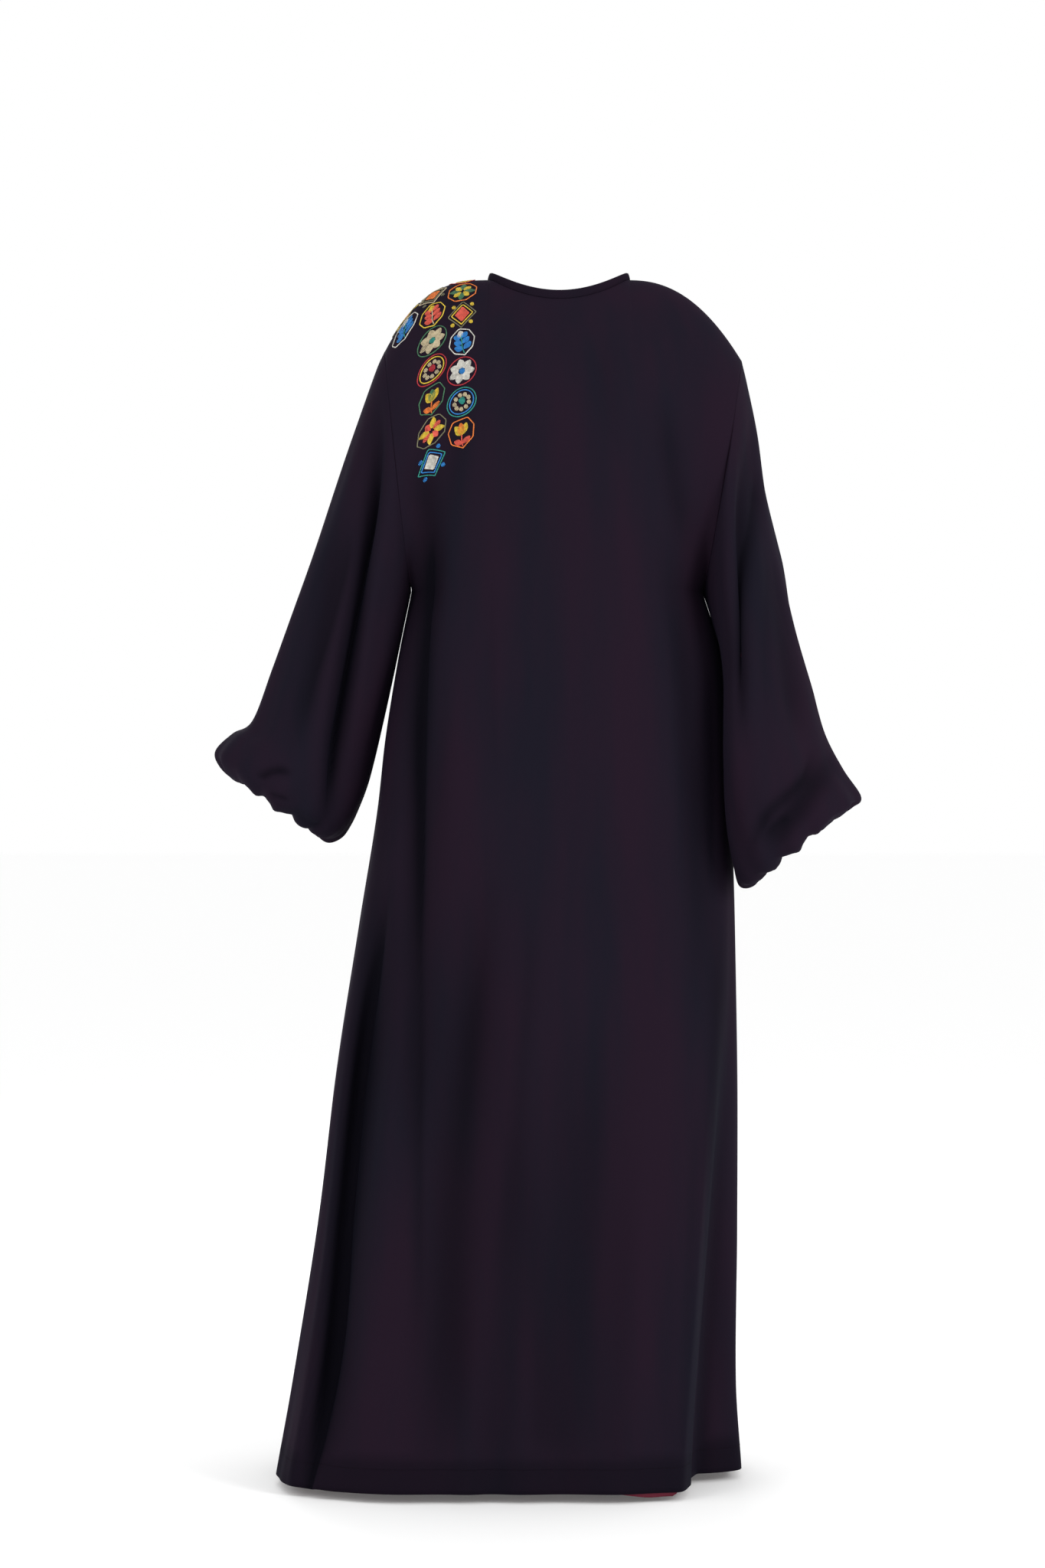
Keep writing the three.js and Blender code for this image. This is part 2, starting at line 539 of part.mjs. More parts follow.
// The foot of the lining: the lowest stretch of the back panel, moved in. Its edge is a little above the hem, and
// below it in the sliver.
function backLining() {
  const share = (p) => {
    const right = -p.x;
    const inSliver = smoothstep(right, -LINING_SLIVER.from, 50 - LINING_SLIVER.from) *
      (1 - smoothstep(right, -LINING_SLIVER.to, 12 - LINING_SLIVER.to));
    return lerp(LINING_SHY, -LINING_DROP, inSliver) / LINING_HEIGHT;
  };
  const at = (inwards) => {
    const rows = [0, 1].map((i) => BACK.outer[i].map((p, j) => p.clone().lerp(BACK.inner[i][j], inwards / WALL)));
    return [rows[0].map((p, j) => p.clone().lerp(rows[1][j], share(p))), rows[1]];
  };
  const outer = at(WALL + LINING_GAP);
  const inner = at(WALL + LINING_GAP + LINING_WALL);
  return piece("back_lining", wallBetween(outer, inner, false, false), LINING);
}

const abaya = new THREE.Group();
abaya.add(
  panel("back_panel", BACK),
  panel("front_right", FRONT_RIGHT),
  panel("front_left", FRONT_LEFT),
  ...sleeve(1, LEFT_SLEEVE, SLEEVE_FOLDS.left, "sleeve_left", "cuff_left"),
  ...sleeve(-1, RIGHT_SLEEVE, SLEEVE_FOLDS.right, "sleeve_right", "cuff_right"),
  neckBand(),
  backLining(),
);

export default abaya;
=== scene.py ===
"""Dresses the frame of a long, loose abaya as worn: dark crepe shells over a maroon lining with their creases,
gathered cuffs, a bound neck, stitching and the embroidered left shoulder, in a plain pale studio."""

import logging
import math
from collections.abc import Callable, Sequence
from dataclasses import dataclass, field
from enum import Enum

import bpy
import numpy as np
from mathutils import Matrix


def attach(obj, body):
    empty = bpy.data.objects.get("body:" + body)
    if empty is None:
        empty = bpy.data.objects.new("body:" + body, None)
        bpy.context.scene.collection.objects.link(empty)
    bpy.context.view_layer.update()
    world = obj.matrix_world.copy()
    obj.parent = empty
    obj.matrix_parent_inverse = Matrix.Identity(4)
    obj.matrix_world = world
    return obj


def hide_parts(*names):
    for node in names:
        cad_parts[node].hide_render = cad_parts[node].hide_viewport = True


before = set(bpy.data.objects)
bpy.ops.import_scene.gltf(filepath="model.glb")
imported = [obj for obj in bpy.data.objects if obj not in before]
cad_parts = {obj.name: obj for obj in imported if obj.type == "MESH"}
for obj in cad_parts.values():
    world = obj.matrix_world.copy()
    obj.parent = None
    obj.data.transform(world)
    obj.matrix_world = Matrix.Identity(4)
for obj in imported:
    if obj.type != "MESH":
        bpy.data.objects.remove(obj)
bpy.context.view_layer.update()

LOG = logging.getLogger("abaya")
MM = 0.001
ROUNDING = 5  # pieces between two points of a bent crease
BEYOND = 9  # lengths by which a crease's line is drawn on past its ends
TINY = 1e-9  # keeps a division from failing on nothing
Grid = np.ndarray  # points in rows and columns, in millimetres


class Face(Enum):
    """The two faces of a garment laid flat, with the sign of their Y side."""

    BACK = 1
    FRONT = -1


class Side(Enum):
    """The wearer's sides, with the sign of their X side."""

    LEFT = 1
    RIGHT = -1


def smooth(x: Grid, low: float, high: float) -> Grid:
    """A soft step.

    Args:
        x: The values to read it at.
        low: Where it leaves 0.
        high: Where it reaches 1.

    Returns:
        The step's height at each value.
    """
    t = np.clip((np.asarray(x, float) - low) / (high - low), 0, 1)
    return t * t * (3 - 2 * t)


def run_along(points: Grid) -> Grid:
    """How far along a line each of its points lies.

    Args:
        points: The line's points.

    Returns:
        The distance of each from the first.
    """
    return np.concatenate([[0], np.cumsum(np.linalg.norm(np.diff(points, axis=0), axis=1))])


def read_line(at: Grid, run: Grid, values: Grid) -> Grid:
    """Reads a line between its points.

    Args:
        at: How far along it to read.
        run: How far along it each of its points lies.
        values: What is read: its points, or the ways out of the cloth at them.

    Returns:
        A row for each place.
    """
    return np.stack([np.interp(at, run, column) for column in values.T], 1)


class Curve:
    """A smooth curve through two columns of a table."""

    def __init__(self, at: Sequence[float], values: Sequence[float]) -> None:
        """Fits the curve.

        Args:
            at: The column that the curve is read along.
            values: The column that it gives.
        """
        order = np.argsort(at)
        self.at = np.array(at, float)[order]
        self.values = np.array(values, float)[order]
        n = np.arange(len(self.at))
        low, high = np.maximum(n - 1, 0), np.minimum(n + 1, len(n) - 1)
        self.slope = (self.values[high] - self.values[low]) / (self.at[high] - self.at[low])

    def __call__(self, x: Grid) -> Grid:
        """Reads the curve.

        Args:
            x: Where to read it.

        Returns:
            Its value at each place.
        """
        i = np.clip(np.searchsorted(self.at, x, side="right") - 1, 0, len(self.at) - 2)
        span = self.at[i + 1] - self.at[i]
        t = np.clip((x - self.at[i]) / span, 0, 1)
        t2, t3 = t * t, t * t * t
        return (
            (2 * t3 - 3 * t2 + 1) * self.values[i]
            + (t3 - 2 * t2 + t) * span * self.slope[i]
            + (3 * t2 - 2 * t3) * self.values[i + 1]
            + (t3 - t2) * span * self.slope[i + 1]
        )


@dataclass(frozen=True)
class Crease:
    """A trough in the cloth along a bent line, seen square on from one face; a ridge has minus depth."""

    name: str
    face: Face
    line: tuple[tuple[float, float], ...]  # x and z of its points, from its start
    depth: float
    width: float
    sharp: float = 0.0  # 0 is a round trough and 1 a sharp one
    lean: float = 0.0  # over 0 its side at the wearer's left is the wider one
    rise: float = 0.35  # share of its length over which it deepens
    fall: float = 0.25  # share of its length over which it fades
    dark: float = 1.6  # how much painted shade darkens its colour for its depth

    def share(self, x: Grid, z: Grid) -> Grid:
        """How strong the crease is.

        Args:
            x: The points' x, in millimetres.
            z: The points' z, in millimetres.

        Returns:
            From 0 to 1 at the bottom of the trough.
        """
        pts = np.array(self.line, float)
        if len(pts) > 2:
            steps = run_along(pts)
            at = np.linspace(0, steps[-1], ROUNDING * (len(pts) - 1) + 1)
            pts = np.stack([Curve(steps, pts[:, k])(at) for k in (0, 1)], axis=1)
        run = run_along(pts)
        best = np.full(x.shape, np.inf)
        across, along = np.zeros(x.shape), np.zeros(x.shape)
        for i, ((ax, az), (bx, bz)) in enumerate(zip(pts[:-1], pts[1:])):
            dx, dz = bx - ax, bz - az
            length = math.hypot(dx, dz)
            t = ((x - ax) * dx + (z - az) * dz) / length**2
            first, last = i == 0, i == len(pts) - 2
            held = np.clip(t, -BEYOND if first else 0, BEYOND if last else 1)
            far = np.hypot(x - ax - held * dx, z - az - held * dz)
            side = np.sign((x - ax) * -dz + (z - az) * dx)
            near = far < best
            best = np.where(near, far, best)
            across = np.where(near, far * side, across)
            along = np.where(near, (run[i] + held * length) / run[-1], along)
        ends = smooth(along, 0, self.rise) * (1 - smooth(along, 1 - self.fall, 1.0 + 0.1 * self.fall))
        width = self.width * (1 + self.lean * np.sign(across))
        power = 2 - 0.85 * self.sharp
        return ends * np.exp(-((np.abs(across) / width) ** power))


def depth_of(creases: Sequence[Crease], face: Face, x: Grid, z: Grid, darkness: bool = False) -> Grid:
    """Adds up the creases of one face.

    Args:
        creases: The creases to add.
        face: The face that the points lie on.
        x: The points' x.
        z: The points' z.
        darkness: Whether each counts by how much painted shade it gives.

    Returns:
        How deep the cloth lies at each point, in millimetres; with darkness, the painted shade there.
    """
    total = np.zeros(np.broadcast(x, z).shape)
    for c in creases:
        if c.face is face:
            total += c.depth * (c.dark if darkness else 1) * c.share(x, z)
    return total


def along_rows(points: Grid, closed: bool) -> Grid:
    """The change from column to column.

    Args:
        points: A grid of points.
        closed: Whether its columns go all round.

    Returns:
        The difference at each point, one-sided at open edges.
    """
    if closed:
        return np.roll(points, -1, axis=1) - np.roll(points, 1, axis=1)
    return np.gradient(points, axis=1)


def normals(points: Grid, closed: bool, turned: bool = False) -> Grid:
    """The way out of a sheet.

    Args:
        points: A grid of points.
        closed: Whether its columns go all round.
        turned: Whether its columns run clockwise.

    Returns:
        The unit normal at each point.
    """
    n = np.cross(along_rows(points, closed), np.gradient(points, axis=0))
    n /= np.maximum(np.linalg.norm(n, axis=2, keepdims=True), TINY)
    return -n if turned else n


@dataclass(frozen=True)
class Section:
    """A level section of the robe: its reach each way and how square it is."""

    z: float
    left: float
    right: float
    back: float
    front: float
    square: float


@dataclass(frozen=True)
class Shoulder:
    """The end of a shoulder seam and the power of the curve that leads to it."""

    x: float
    z: float
    round: float


@dataclass
class RobeForm:
    """The form of the robe's back and fronts, close to that of their solids, in millimetres."""

    sections: tuple[Section, ...] = (
        Section(-373, 180, -175, 122, 136, 2.6),
        Section(-453, 196, -199, 124, 134, 2.7),
        Section(-546, 211, -207, 127, 132, 2.8),
        Section(-640, 222, -210, 132, 137, 2.9),
        Section(-771, 243, -213, 141, 147, 3.0),
        Section(-958, 271, -215, 153, 160, 3.1),
        Section(-1145, 293, -214, 165, 174, 3.2),
        Section(-1331, 322, -213, 177, 190, 3.4),
        Section(-1438, 342, -221, 184, 200, 3.5),
    )
    shoulders: dict[Side, Shoulder] = field(
        default_factory=lambda: {
            Side.LEFT: Shoulder(212, -79, 2.8),
            Side.RIGHT: Shoulder(-222, -90, 2.3),
        }
    )
    neck_half: float = 85  # half the neckline's width, at the shoulder seams
    neck_top: float = 8  # height of the seams' neck ends
    # how far the neckline stands out in the middle of each face, and how far it drops there
    neck_reach: dict[Face, float] = field(default_factory=lambda: {Face.BACK: 62, Face.FRONT: 82})
    neck_drop: dict[Face, float] = field(default_factory=lambda: {Face.BACK: 28, Face.FRONT: 85})
    armhole_half: float = 88  # half the armhole's size from front to back
    shoulder_share: float = 11 / 36  # share of a panel's top edge that one shoulder seam takes
    yoke_round: float = 3  # how long the upper body stays deep before it curves in to the shoulders
    pushed_from: tuple[float, float] = (-199, -690)  # x and z where the pushed-in edge at the right starts
    pushed_to: tuple[float, float] = (-139, -1448)  # x and z where it ends at the hem
    pushed_keeps: float = 0.32  # share of its depth that the cloth beyond that edge keeps
    pushed_width: float = 29  # width over which it turns in
    seam: float = 0.04  # gap between the back and the fronts at their side seams
    scan: int = 720  # points at which each half ring is measured
    side_gap: float = 1e-4  # angle by which a half ring ends short of the side
    creases: tuple[Crease, ...] = (
        Crease("left side", Face.BACK, ((203, -690), (291, -1475)), 34, 19),
        Crease("left back corner", Face.BACK, ((156, -395), (176, -1080)), 13, 26),
        Crease("left of centre", Face.BACK, ((84, -640), (150, -1500)), 13, 36),
        Crease("near centre", Face.BACK, ((46, -930), (84, -1520)), 8, 22),
        Crease("right of centre", Face.BACK, ((-32, -840), (4, -1520)), 10, 44),
        Crease("front left side", Face.FRONT, ((206, -700), (288, -1475)), 30, 22),
        Crease("front left", Face.FRONT, ((118, -560), (168, -1500)), 16, 32),
        Crease("front left of centre", Face.FRONT, ((62, -860), (104, -1520)), 9, 22),
        Crease("front right of centre", Face.FRONT, ((-68, -620), (-52, -1500)), 13, 30),
        Crease("front right side", Face.FRONT, ((-168, -690), (-166, -1475)), 34, 26),
    )

    def __post_init__(self) -> None:
        """Fits a curve to each column of the table of sections."""
        z = [s.z for s in self.sections]
        self.curves = {k: Curve(z, [getattr(s, k) for s in self.sections]) for k in
                       ("left", "right", "back", "front", "square")}
        self.underarm, self.hem = self.sections[0], self.sections[-1]

    def ring(self, angle: Grid, z: Grid) -> tuple[Grid, Grid]:
        """A level ring without its folds.

        Args:
            angle: The angles, from the wearer's left towards the back.
            z: The heights.

        Returns:
            x and y of each point.
        """
        c = {k: f(z) for k, f in self.curves.items()}
        half, middle = (c["left"] - c["right"]) / 2, (c["left"] + c["right"]) / 2
        deep = np.where(np.sin(angle) > 0, c["back"], c["front"])
        n = c["square"]
        r = (np.abs(np.cos(angle) / half) ** n + np.abs(np.sin(angle) / deep) ** n) ** (-1 / n)
        return middle + r * np.cos(angle), r * np.sin(angle)

    def folded(self, face: Face, x: Grid, y: Grid, z: Grid) -> Grid:
        """The depth of the robe once its folds are laid in.

        Args:
            face: The face that the points lie on.
            x: The points' x.
            y: The depth of the plain ring there.
            z: The points' z.

        Returns:
            y of each point.
        """
        deep, kept = np.abs(y), 1.0
        if face is Face.BACK:
            (x0, z0), (x1, z1) = self.pushed_from, self.pushed_to
            down = (z0 - z) / (z0 - z1)
            beyond = x0 + (x1 - x0) * down - x
            kept = 1 - (1 - self.pushed_keeps) * smooth(down, 0, 0.8) * smooth(beyond, 0, self.pushed_width)
        fold = depth_of(self.creases, face, x, z) * smooth(deep, 0, 40)
        return face.value * (deep * kept - fold)

    def ring_angles(self, face: Face, u: Grid, z: Grid) -> Grid:
        """Angles for shares of a half ring, measured along its folds.

        Args:
            face: Which half.
            u: The share at each point of a row, from the wearer's left on the back, else from the right.
            z: The height of each row.

        Returns:
            The angle at each point of the grid.
        """
        start = 0 if face is Face.BACK else math.pi
        dense = start + math.pi * (np.arange(self.scan) + 0.5) / self.scan
        out = np.zeros((len(z), len(u)))
        zz = np.broadcast_to(z[:, None], (len(z), self.scan))
        x, y = self.ring(np.broadcast_to(dense, zz.shape), zz)
        y = self.folded(face, x, y, zz)
        steps = np.hypot(np.diff(x), np.diff(y))
        run = np.concatenate([np.zeros((len(z), 1)), np.cumsum(steps, axis=1)], axis=1)
        ends = np.concatenate([[start + self.side_gap], dense[1:-1], [start + math.pi - self.side_gap]])
        for i in range(len(z)):
            out[i] = np.interp(u * run[i, -1], run[i], ends)
        return out

    def top_edge(self, face: Face, u: Grid) -> Grid:
        """The shoulder seams and neckline of a panel.

        Args:
            face: Which panel.
            u: Shares along it from the wearer's left.

        Returns:
            A row of points.
        """
        from_side = np.minimum(u, 1 - u)
        on_left = u < 0.5
        left, right = self.shoulders[Side.LEFT], self.shoulders[Side.RIGHT]
        tip_x, tip_z, power = (np.where(on_left, getattr(left, k), getattr(right, k))
                               for k in ("x", "z", "round"))
        out = np.clip(1 - from_side / self.shoulder_share, 0, 1)
        neck_x = np.where(on_left, self.neck_half, -self.neck_half)
        seam = np.stack([neck_x + (tip_x - neck_x) * out, np.zeros(len(u)),
                         self.neck_top + (tip_z - self.neck_top) * out**power], 1)
        turn = np.clip(np.pi * (u - self.shoulder_share) / (1 - 2 * self.shoulder_share), 0, np.pi)
        reach = np.sin(turn)
        neck = np.stack([self.neck_half * np.cos(turn), face.value * self.neck_reach[face] * reach,
                         self.neck_top - self.neck_drop[face] * reach**2], 1)
        return np.where((from_side < self.shoulder_share)[:, None], seam, neck)

    def panel(self, face: Face, u: Grid, skirt: Grid, yoke: Grid) -> Grid:
        """The grid of a back or front panel with its main folds.

        Args:
            face: Which panel.
            u: Shares across it.
            skirt: Shares up from the hem to the underarm, ending at 1.
            yoke: Shares from there to the shoulder seams, above 0 and ending at 1.

        Returns:
            Points in rows from the hem up.
        """
        z = self.hem.z + (self.underarm.z - self.hem.z) * skirt
        angle = self.ring_angles(face, u, z)
        zz = np.broadcast_to(z[:, None], angle.shape)
        x, y = self.ring(angle, zz)
        y = self.folded(face, x, y, zz) + face.value * self.seam / 2
        low = np.stack([x[-1], y[-1] - face.value * self.seam / 2, zz[-1]], 1)
        top = self.top_edge(face, u if face is Face.BACK else 1 - u)
        h = ((1 - np.cos(np.pi * yoke)) / 2)[:, None]
        deep = self.underarm.back if face is Face.BACK else self.underarm.front
        low_y, top_y = np.abs(low[:, 1]), np.abs(top[:, 1])
        beside = np.clip(1 - (low_y / deep) ** 2, 0, 1)
        rim = beside * self.armhole_half * 2 * np.sqrt(h * (1 - h))
        power = 0.5 + 0.4 * top_y / self.neck_reach[face]
        curve = (low_y - top_y) * np.clip(1 - h**self.yoke_round, 0, 1) ** power
        up = np.stack([low[:, 0] + (top[:, 0] - low[:, 0]) * h,
                       face.value * (top_y + np.hypot(curve, rim) + self.seam / 2),
                       low[:, 2] + (top[:, 2] - low[:, 2]) * h], 2)
        return np.concatenate([np.stack([x, y, zz], 2), up])


@dataclass(frozen=True)
class SleeveSection:
    """A section across a sleeve, by its outer and inner point as seen from behind."""

    out_x: float
    out_z: float
    in_x: float
    in_z: float
    deep: float  # half its size from front to back
    mid: float  # y of its middle
    lean: float = 0.0  # how far its back is carried towards the body, and its front away from it
    gather: float = 0.0  # height of its gathers


@dataclass
class SleeveForm:
    """The form of one sleeve, close to that of its solid, in millimetres."""

    side: Side
    sections: tuple[SleeveSection, ...]
    creases: tuple[Crease, ...]
    gathers: int = 12  # how many go round its end
    seam: float = 0.3  # how far it stands off the body
    full_shade_depth: float = 24  # depth of a trough whose painted shade is as dark as can be

    def __post_init__(self) -> None:
        """Fits a curve to each column of the table of sections."""
        i = range(len(self.sections))
        self.curves = {k: Curve(i, [getattr(s, k) for s in self.sections]) for k in
                       ("out_x", "out_z", "in_x", "in_z", "deep", "mid", "lean", "gather")}
        self.end = len(self.sections) - 1

    def oval(self, angle: Grid, t: Grid) -> Grid:
        """The plain sleeve.

        Args:
            angle: The angles round it, from its outer point by way of the back.
            t: The sections, counted from the armhole.

        Returns:
            Points in rows from the armhole down.
        """
        c = {k: f(t) for k, f in self.curves.items()}
        h = (1 + np.cos(angle)) / 2
        return np.stack([c["in_x"] + (c["out_x"] - c["in_x"]) * h
                         + self.side.value * (self.seam - c["lean"] * np.sin(angle)),
                         c["mid"] + c["deep"] * np.sin(angle),
                         c["in_z"] + (c["out_z"] - c["in_z"]) * h], 2)

    def grid(self, columns: int, t: Grid, extra: Callable[[Grid, Grid], Grid]) -> tuple[Grid, Grid]:
        """The sleeve with its folds and gathers.

        Args:
            columns: How many points go round.
            t: The sections to take.
            extra: Finer gathers, as a height for each angle and section.

        Returns:
            The points, and the painted shade at each for how deep it lies in a fold.
        """
        angle = np.broadcast_to(2 * np.pi * np.arange(columns) / columns, (len(t), columns))
        tt = np.broadcast_to(t[:, None], angle.shape)
        p = self.oval(angle, tt)
        n = normals(p, True, self.side is Side.LEFT)
        back = np.sin(angle) >= 0
        fold = np.where(back, depth_of(self.creases, Face.BACK, p[..., 0], p[..., 2]),
                        depth_of(self.creases, Face.FRONT, p[..., 0], p[..., 2]))
        # the folds fade at the outline, at the armhole and where the sleeve turns in to its cuff
        away = smooth(np.abs(np.sin(angle)), 0, 0.3) * smooth(tt, 0, 1.5) * (1 - smooth(tt, 9.5, 11.5))
        uneven = 0.62 + 0.24 * np.cos(3 * angle + 1)
        wave = self.curves["gather"](tt) * np.cos(self.gathers * angle) * uneven
        lift = wave - fold * away + extra(angle, tt)
        # painted shade: each point's colour is darkened for how deep it lies in a crease
        dark = np.where(back, depth_of(self.creases, Face.BACK, p[..., 0], p[..., 2], True),
                        depth_of(self.creases, Face.FRONT, p[..., 0], p[..., 2], True))
        return p + n * lift[..., None], np.clip(dark * away / self.full_shade_depth, 0, 1)


# height of the gathers at each of a sleeve's sections, from the armhole to the cuff
GATHER = (0, 0, 0, 0, 0, 0, 0, 0, 0.6, 1.8, 3.4, 4.4, 3.8, 2)


def sleeve_rows(rows: Sequence[Sequence[float]]) -> tuple[SleeveSection, ...]:
    """Adds the gathers' height to each row of a sleeve's table.

    Args:
        rows: Outer x and z, inner x and z, half depth, middle and lean of each section.

    Returns:
        The sections.
    """
    return tuple(SleeveSection(*row, gather=gather) for row, gather in zip(rows, GATHER))


LEFT_SLEEVE = sleeve_rows((
    (212, -79, 180, -373, 88, 0),
    (223, -104, 182.8, -386, 90, 0),
    (247, -173, 186.3, -405, 88, 0),
    (273, -248, 196.5, -453, 84, -2),
    (299, -323, 207, -497, 80, -5),
    (326, -398, 217.3, -540, 78, -8),
    (350, -465, 225.3, -575, 79, -11),
    (374, -528, 232.8, -606, 84, -14),
    (398, -545, 242, -632, 90, -17),
    (418, -566, 253, -655, 92, -20),
    (413, -583, 266, -671, 85, -22),
    (398, -596, 284, -675, 67, -23),
    (383, -597, 299, -657, 46, -24),
    (368, -584, 308, -624, 32, -24),
))
RIGHT_SLEEVE = sleeve_rows((
    (-222, -90, -175, -373, 88, 0, 0),
    (-229, -119, -179.5, -387, 91, 4, 8),
    (-240, -180, -187.2, -412, 90, 14, 15),
    (-249, -255, -197.6, -452, 86, 30, 21),
    (-266, -340, -201, -492, 84, 44, 24),
    (-285, -420, -202, -538, 83, 52, 28),
    (-303, -485, -202.5, -585, 84, 56, 29),
    (-319, -546, -203.5, -630, 88, 59, 28),
    (-339, -588, -206, -672, 92, 60, 24),
    (-360, -621, -210, -710, 90, 60, 15),
    (-352, -631, -218, -729, 82, 60, 8),
    (-336, -640, -234, -725, 64, 60, 4),
    (-318, -642, -244, -702, 46, 60, 1),
    (-298, -632, -248, -668, 31, 60, 0),
))


Colour = tuple[float, float, float]
TONE_EDGES = (0.3, 0.62)  # where a noise reaches its low and its high colour


def two_tone(tree: bpy.types.NodeTree, place: bpy.types.NodeSocket, scale: float, detail: float, low: Colour,
             high: Colour) -> bpy.types.NodeSocket:
    """Adds a noise between two colours to a shader.

    Args:
        tree: The shader's nodes.
        place: Where the noise is read.
        scale: How fine it is.
        detail: How rough it is.
        low: Its low colour.
        high: Its high colour.

    Returns:
        The socket that gives the colour.
    """
    noise = tree.nodes.new("ShaderNodeTexNoise")
    noise.inputs["Scale"].default_value = scale
    noise.inputs["Detail"].default_value = detail
    tree.links.new(place, noise.inputs["Vector"])
    ramp = tree.nodes.new("ShaderNodeValToRGB")
    for i, colour in enumerate((low, high)):
        ramp.color_ramp.elements[i].position = TONE_EDGES[i]
        ramp.color_ramp.elements[i].color = (*colour, 1)
    tree.links.new(noise.outputs["Fac"], ramp.inputs["Fac"])
    return ramp.outputs["Color"]


@dataclass(frozen=True)
class ClothFinish:
    """A matt cloth with a nap, slightly uneven in colour, with painted shade in its folds."""

    name: str
    flat: Colour
    shade: Colour
    roughness: float = 0.85
    sheen: float = 0.012
    sheen_tint: Colour = (0.42, 0.45, 0.85)
    gloss: float = 0.02
    grain: float = 0.12
    sheen_spread: float = 0.45
    patches: float = 3.6  # how fine its uneven patches are
    drawn_out: tuple[float, float, float] = (4.2, 4.2, 0.7)  # their scale each way, long down the cloth
    painted_shade_left: float = 0.42  # share of its shade colour that the painted shade comes down to at the bottom of a trough
    weave: float = 520  # how fine its weave is
    nap: float = 0.0006  # height of the weave

    def material(self) -> bpy.types.Material:
        """Makes the shader.

        Returns:
            A new material.
        """
        m = bpy.data.materials.new(self.name)
        m.use_nodes = True
        t = m.node_tree
        shader = t.nodes["Principled BSDF"]
        shader.inputs["Roughness"].default_value = self.roughness
        shader.inputs["Sheen Weight"].default_value = self.sheen
        shader.inputs["Sheen Roughness"].default_value = self.sheen_spread
        shader.inputs["Sheen Tint"].default_value = (*self.sheen_tint, 1)
        shader.inputs["Specular IOR Level"].default_value = self.gloss
        place = t.nodes.new("ShaderNodeTexCoord")
        drawn = t.nodes.new("ShaderNodeMapping")
        drawn.inputs["Scale"].default_value = self.drawn_out
        t.links.new(place.outputs["Object"], drawn.inputs["Vector"])
        tone = two_tone(t, drawn.outputs["Vector"], self.patches, 4, self.shade, self.flat)
        # painted shade: the trough attribute darkens the colour in folds and creases
        trough = t.nodes.new("ShaderNodeAttribute")
        trough.attribute_name = "trough"
        deep = t.nodes.new("ShaderNodeMix")
        deep.data_type = "RGBA"
        deep.inputs["B"].default_value = (*(self.painted_shade_left * c for c in self.shade), 1)
        t.links.new(trough.outputs["Fac"], deep.inputs["Factor"])
        t.links.new(tone, deep.inputs["A"])
        t.links.new(deep.outputs["Result"], shader.inputs["Base Color"])
        grain = t.nodes.new("ShaderNodeTexNoise")
        grain.inputs["Scale"].default_value = self.weave
        grain.inputs["Detail"].default_value = 2
        t.links.new(place.outputs["Object"], grain.inputs["Vector"])
        bump = t.nodes.new("ShaderNodeBump")
        bump.inputs["Strength"].default_value = self.grain
        bump.inputs["Distance"].default_value = self.nap
        t.links.new(grain.outputs["Fac"], bump.inputs["Height"])
        t.links.new(bump.outputs["Normal"], shader.inputs["Normal"])
        return m


@dataclass(frozen=True)
class ThreadFinish:
    """A glossy embroidery thread in one colour."""

    name: str
    colour: Colour
    roughness: float = 0.42
    gloss: float = 0.4
    fibres: float = 260  # how fine its fibres are
    between: float = 0.62  # share of its colour that is left between them

    def material(self) -> bpy.types.Material:
        """Makes the shader.

        Returns:
            A new material.
        """
        m = bpy.data.materials.new(self.name)
        m.use_nodes = True
        t = m.node_tree
        shader = t.nodes["Principled BSDF"]
        shader.inputs["Roughness"].default_value = self.roughness
        shader.inputs["Specular IOR Level"].default_value = self.gloss
        place = t.nodes.new("ShaderNodeTexCoord")
        low = tuple(self.between * c for c in self.colour)
        tone = two_tone(t, place.outputs["Object"], self.fibres, 2, low, self.colour)
        t.links.new(tone, shader.inputs["Base Color"])
        return m


class Thread(Enum):
    """The embroidery threads."""

    CREAM = ThreadFinish("thread_cream", (0.56, 0.47, 0.30))
    WHITE = ThreadFinish("thread_white", (0.66, 0.64, 0.58))
    CORAL = ThreadFinish("thread_coral", (0.72, 0.10, 0.065))
    RED = ThreadFinish("thread_red", (0.42, 0.018, 0.03))
    ORANGE = ThreadFinish("thread_orange", (0.80, 0.20, 0.03))
    YELLOW = ThreadFinish("thread_yellow", (0.72, 0.52, 0.04))
    TEAL = ThreadFinish("thread_teal", (0.02, 0.27, 0.22))
    GREEN = ThreadFinish("thread_green", (0.05, 0.17, 0.08))
    BLUE = ThreadFinish("thread_blue", (0.02, 0.22, 0.60))
    KHAKI = ThreadFinish("thread_khaki", (0.17, 0.16, 0.09))


CREPE = ClothFinish("dark_crepe", (0.0134, 0.0073, 0.0145), (0.0086, 0.0075, 0.0136))
LINING = ClothFinish("maroon_lining", (0.13, 0.010, 0.026), (0.09, 0.007, 0.019), roughness=0.55, sheen=0.05,
                     sheen_tint=(0.9, 0.5, 0.55), gloss=0.2, grain=0.05)


class Wardrobe:
    """Keeps one material for each finish."""

    def __init__(self) -> None:
        """Starts with none."""
        self.made: dict[str, bpy.types.Material] = {}

    def of(self, finish: ClothFinish | ThreadFinish) -> bpy.types.Material:
        """The material of a finish, made when first asked for.

        Args:
            finish: The finish.

        Returns:
            Its material.
        """
        if finish.name not in self.made:
            self.made[finish.name] = finish.material()
        return self.made[finish.name]


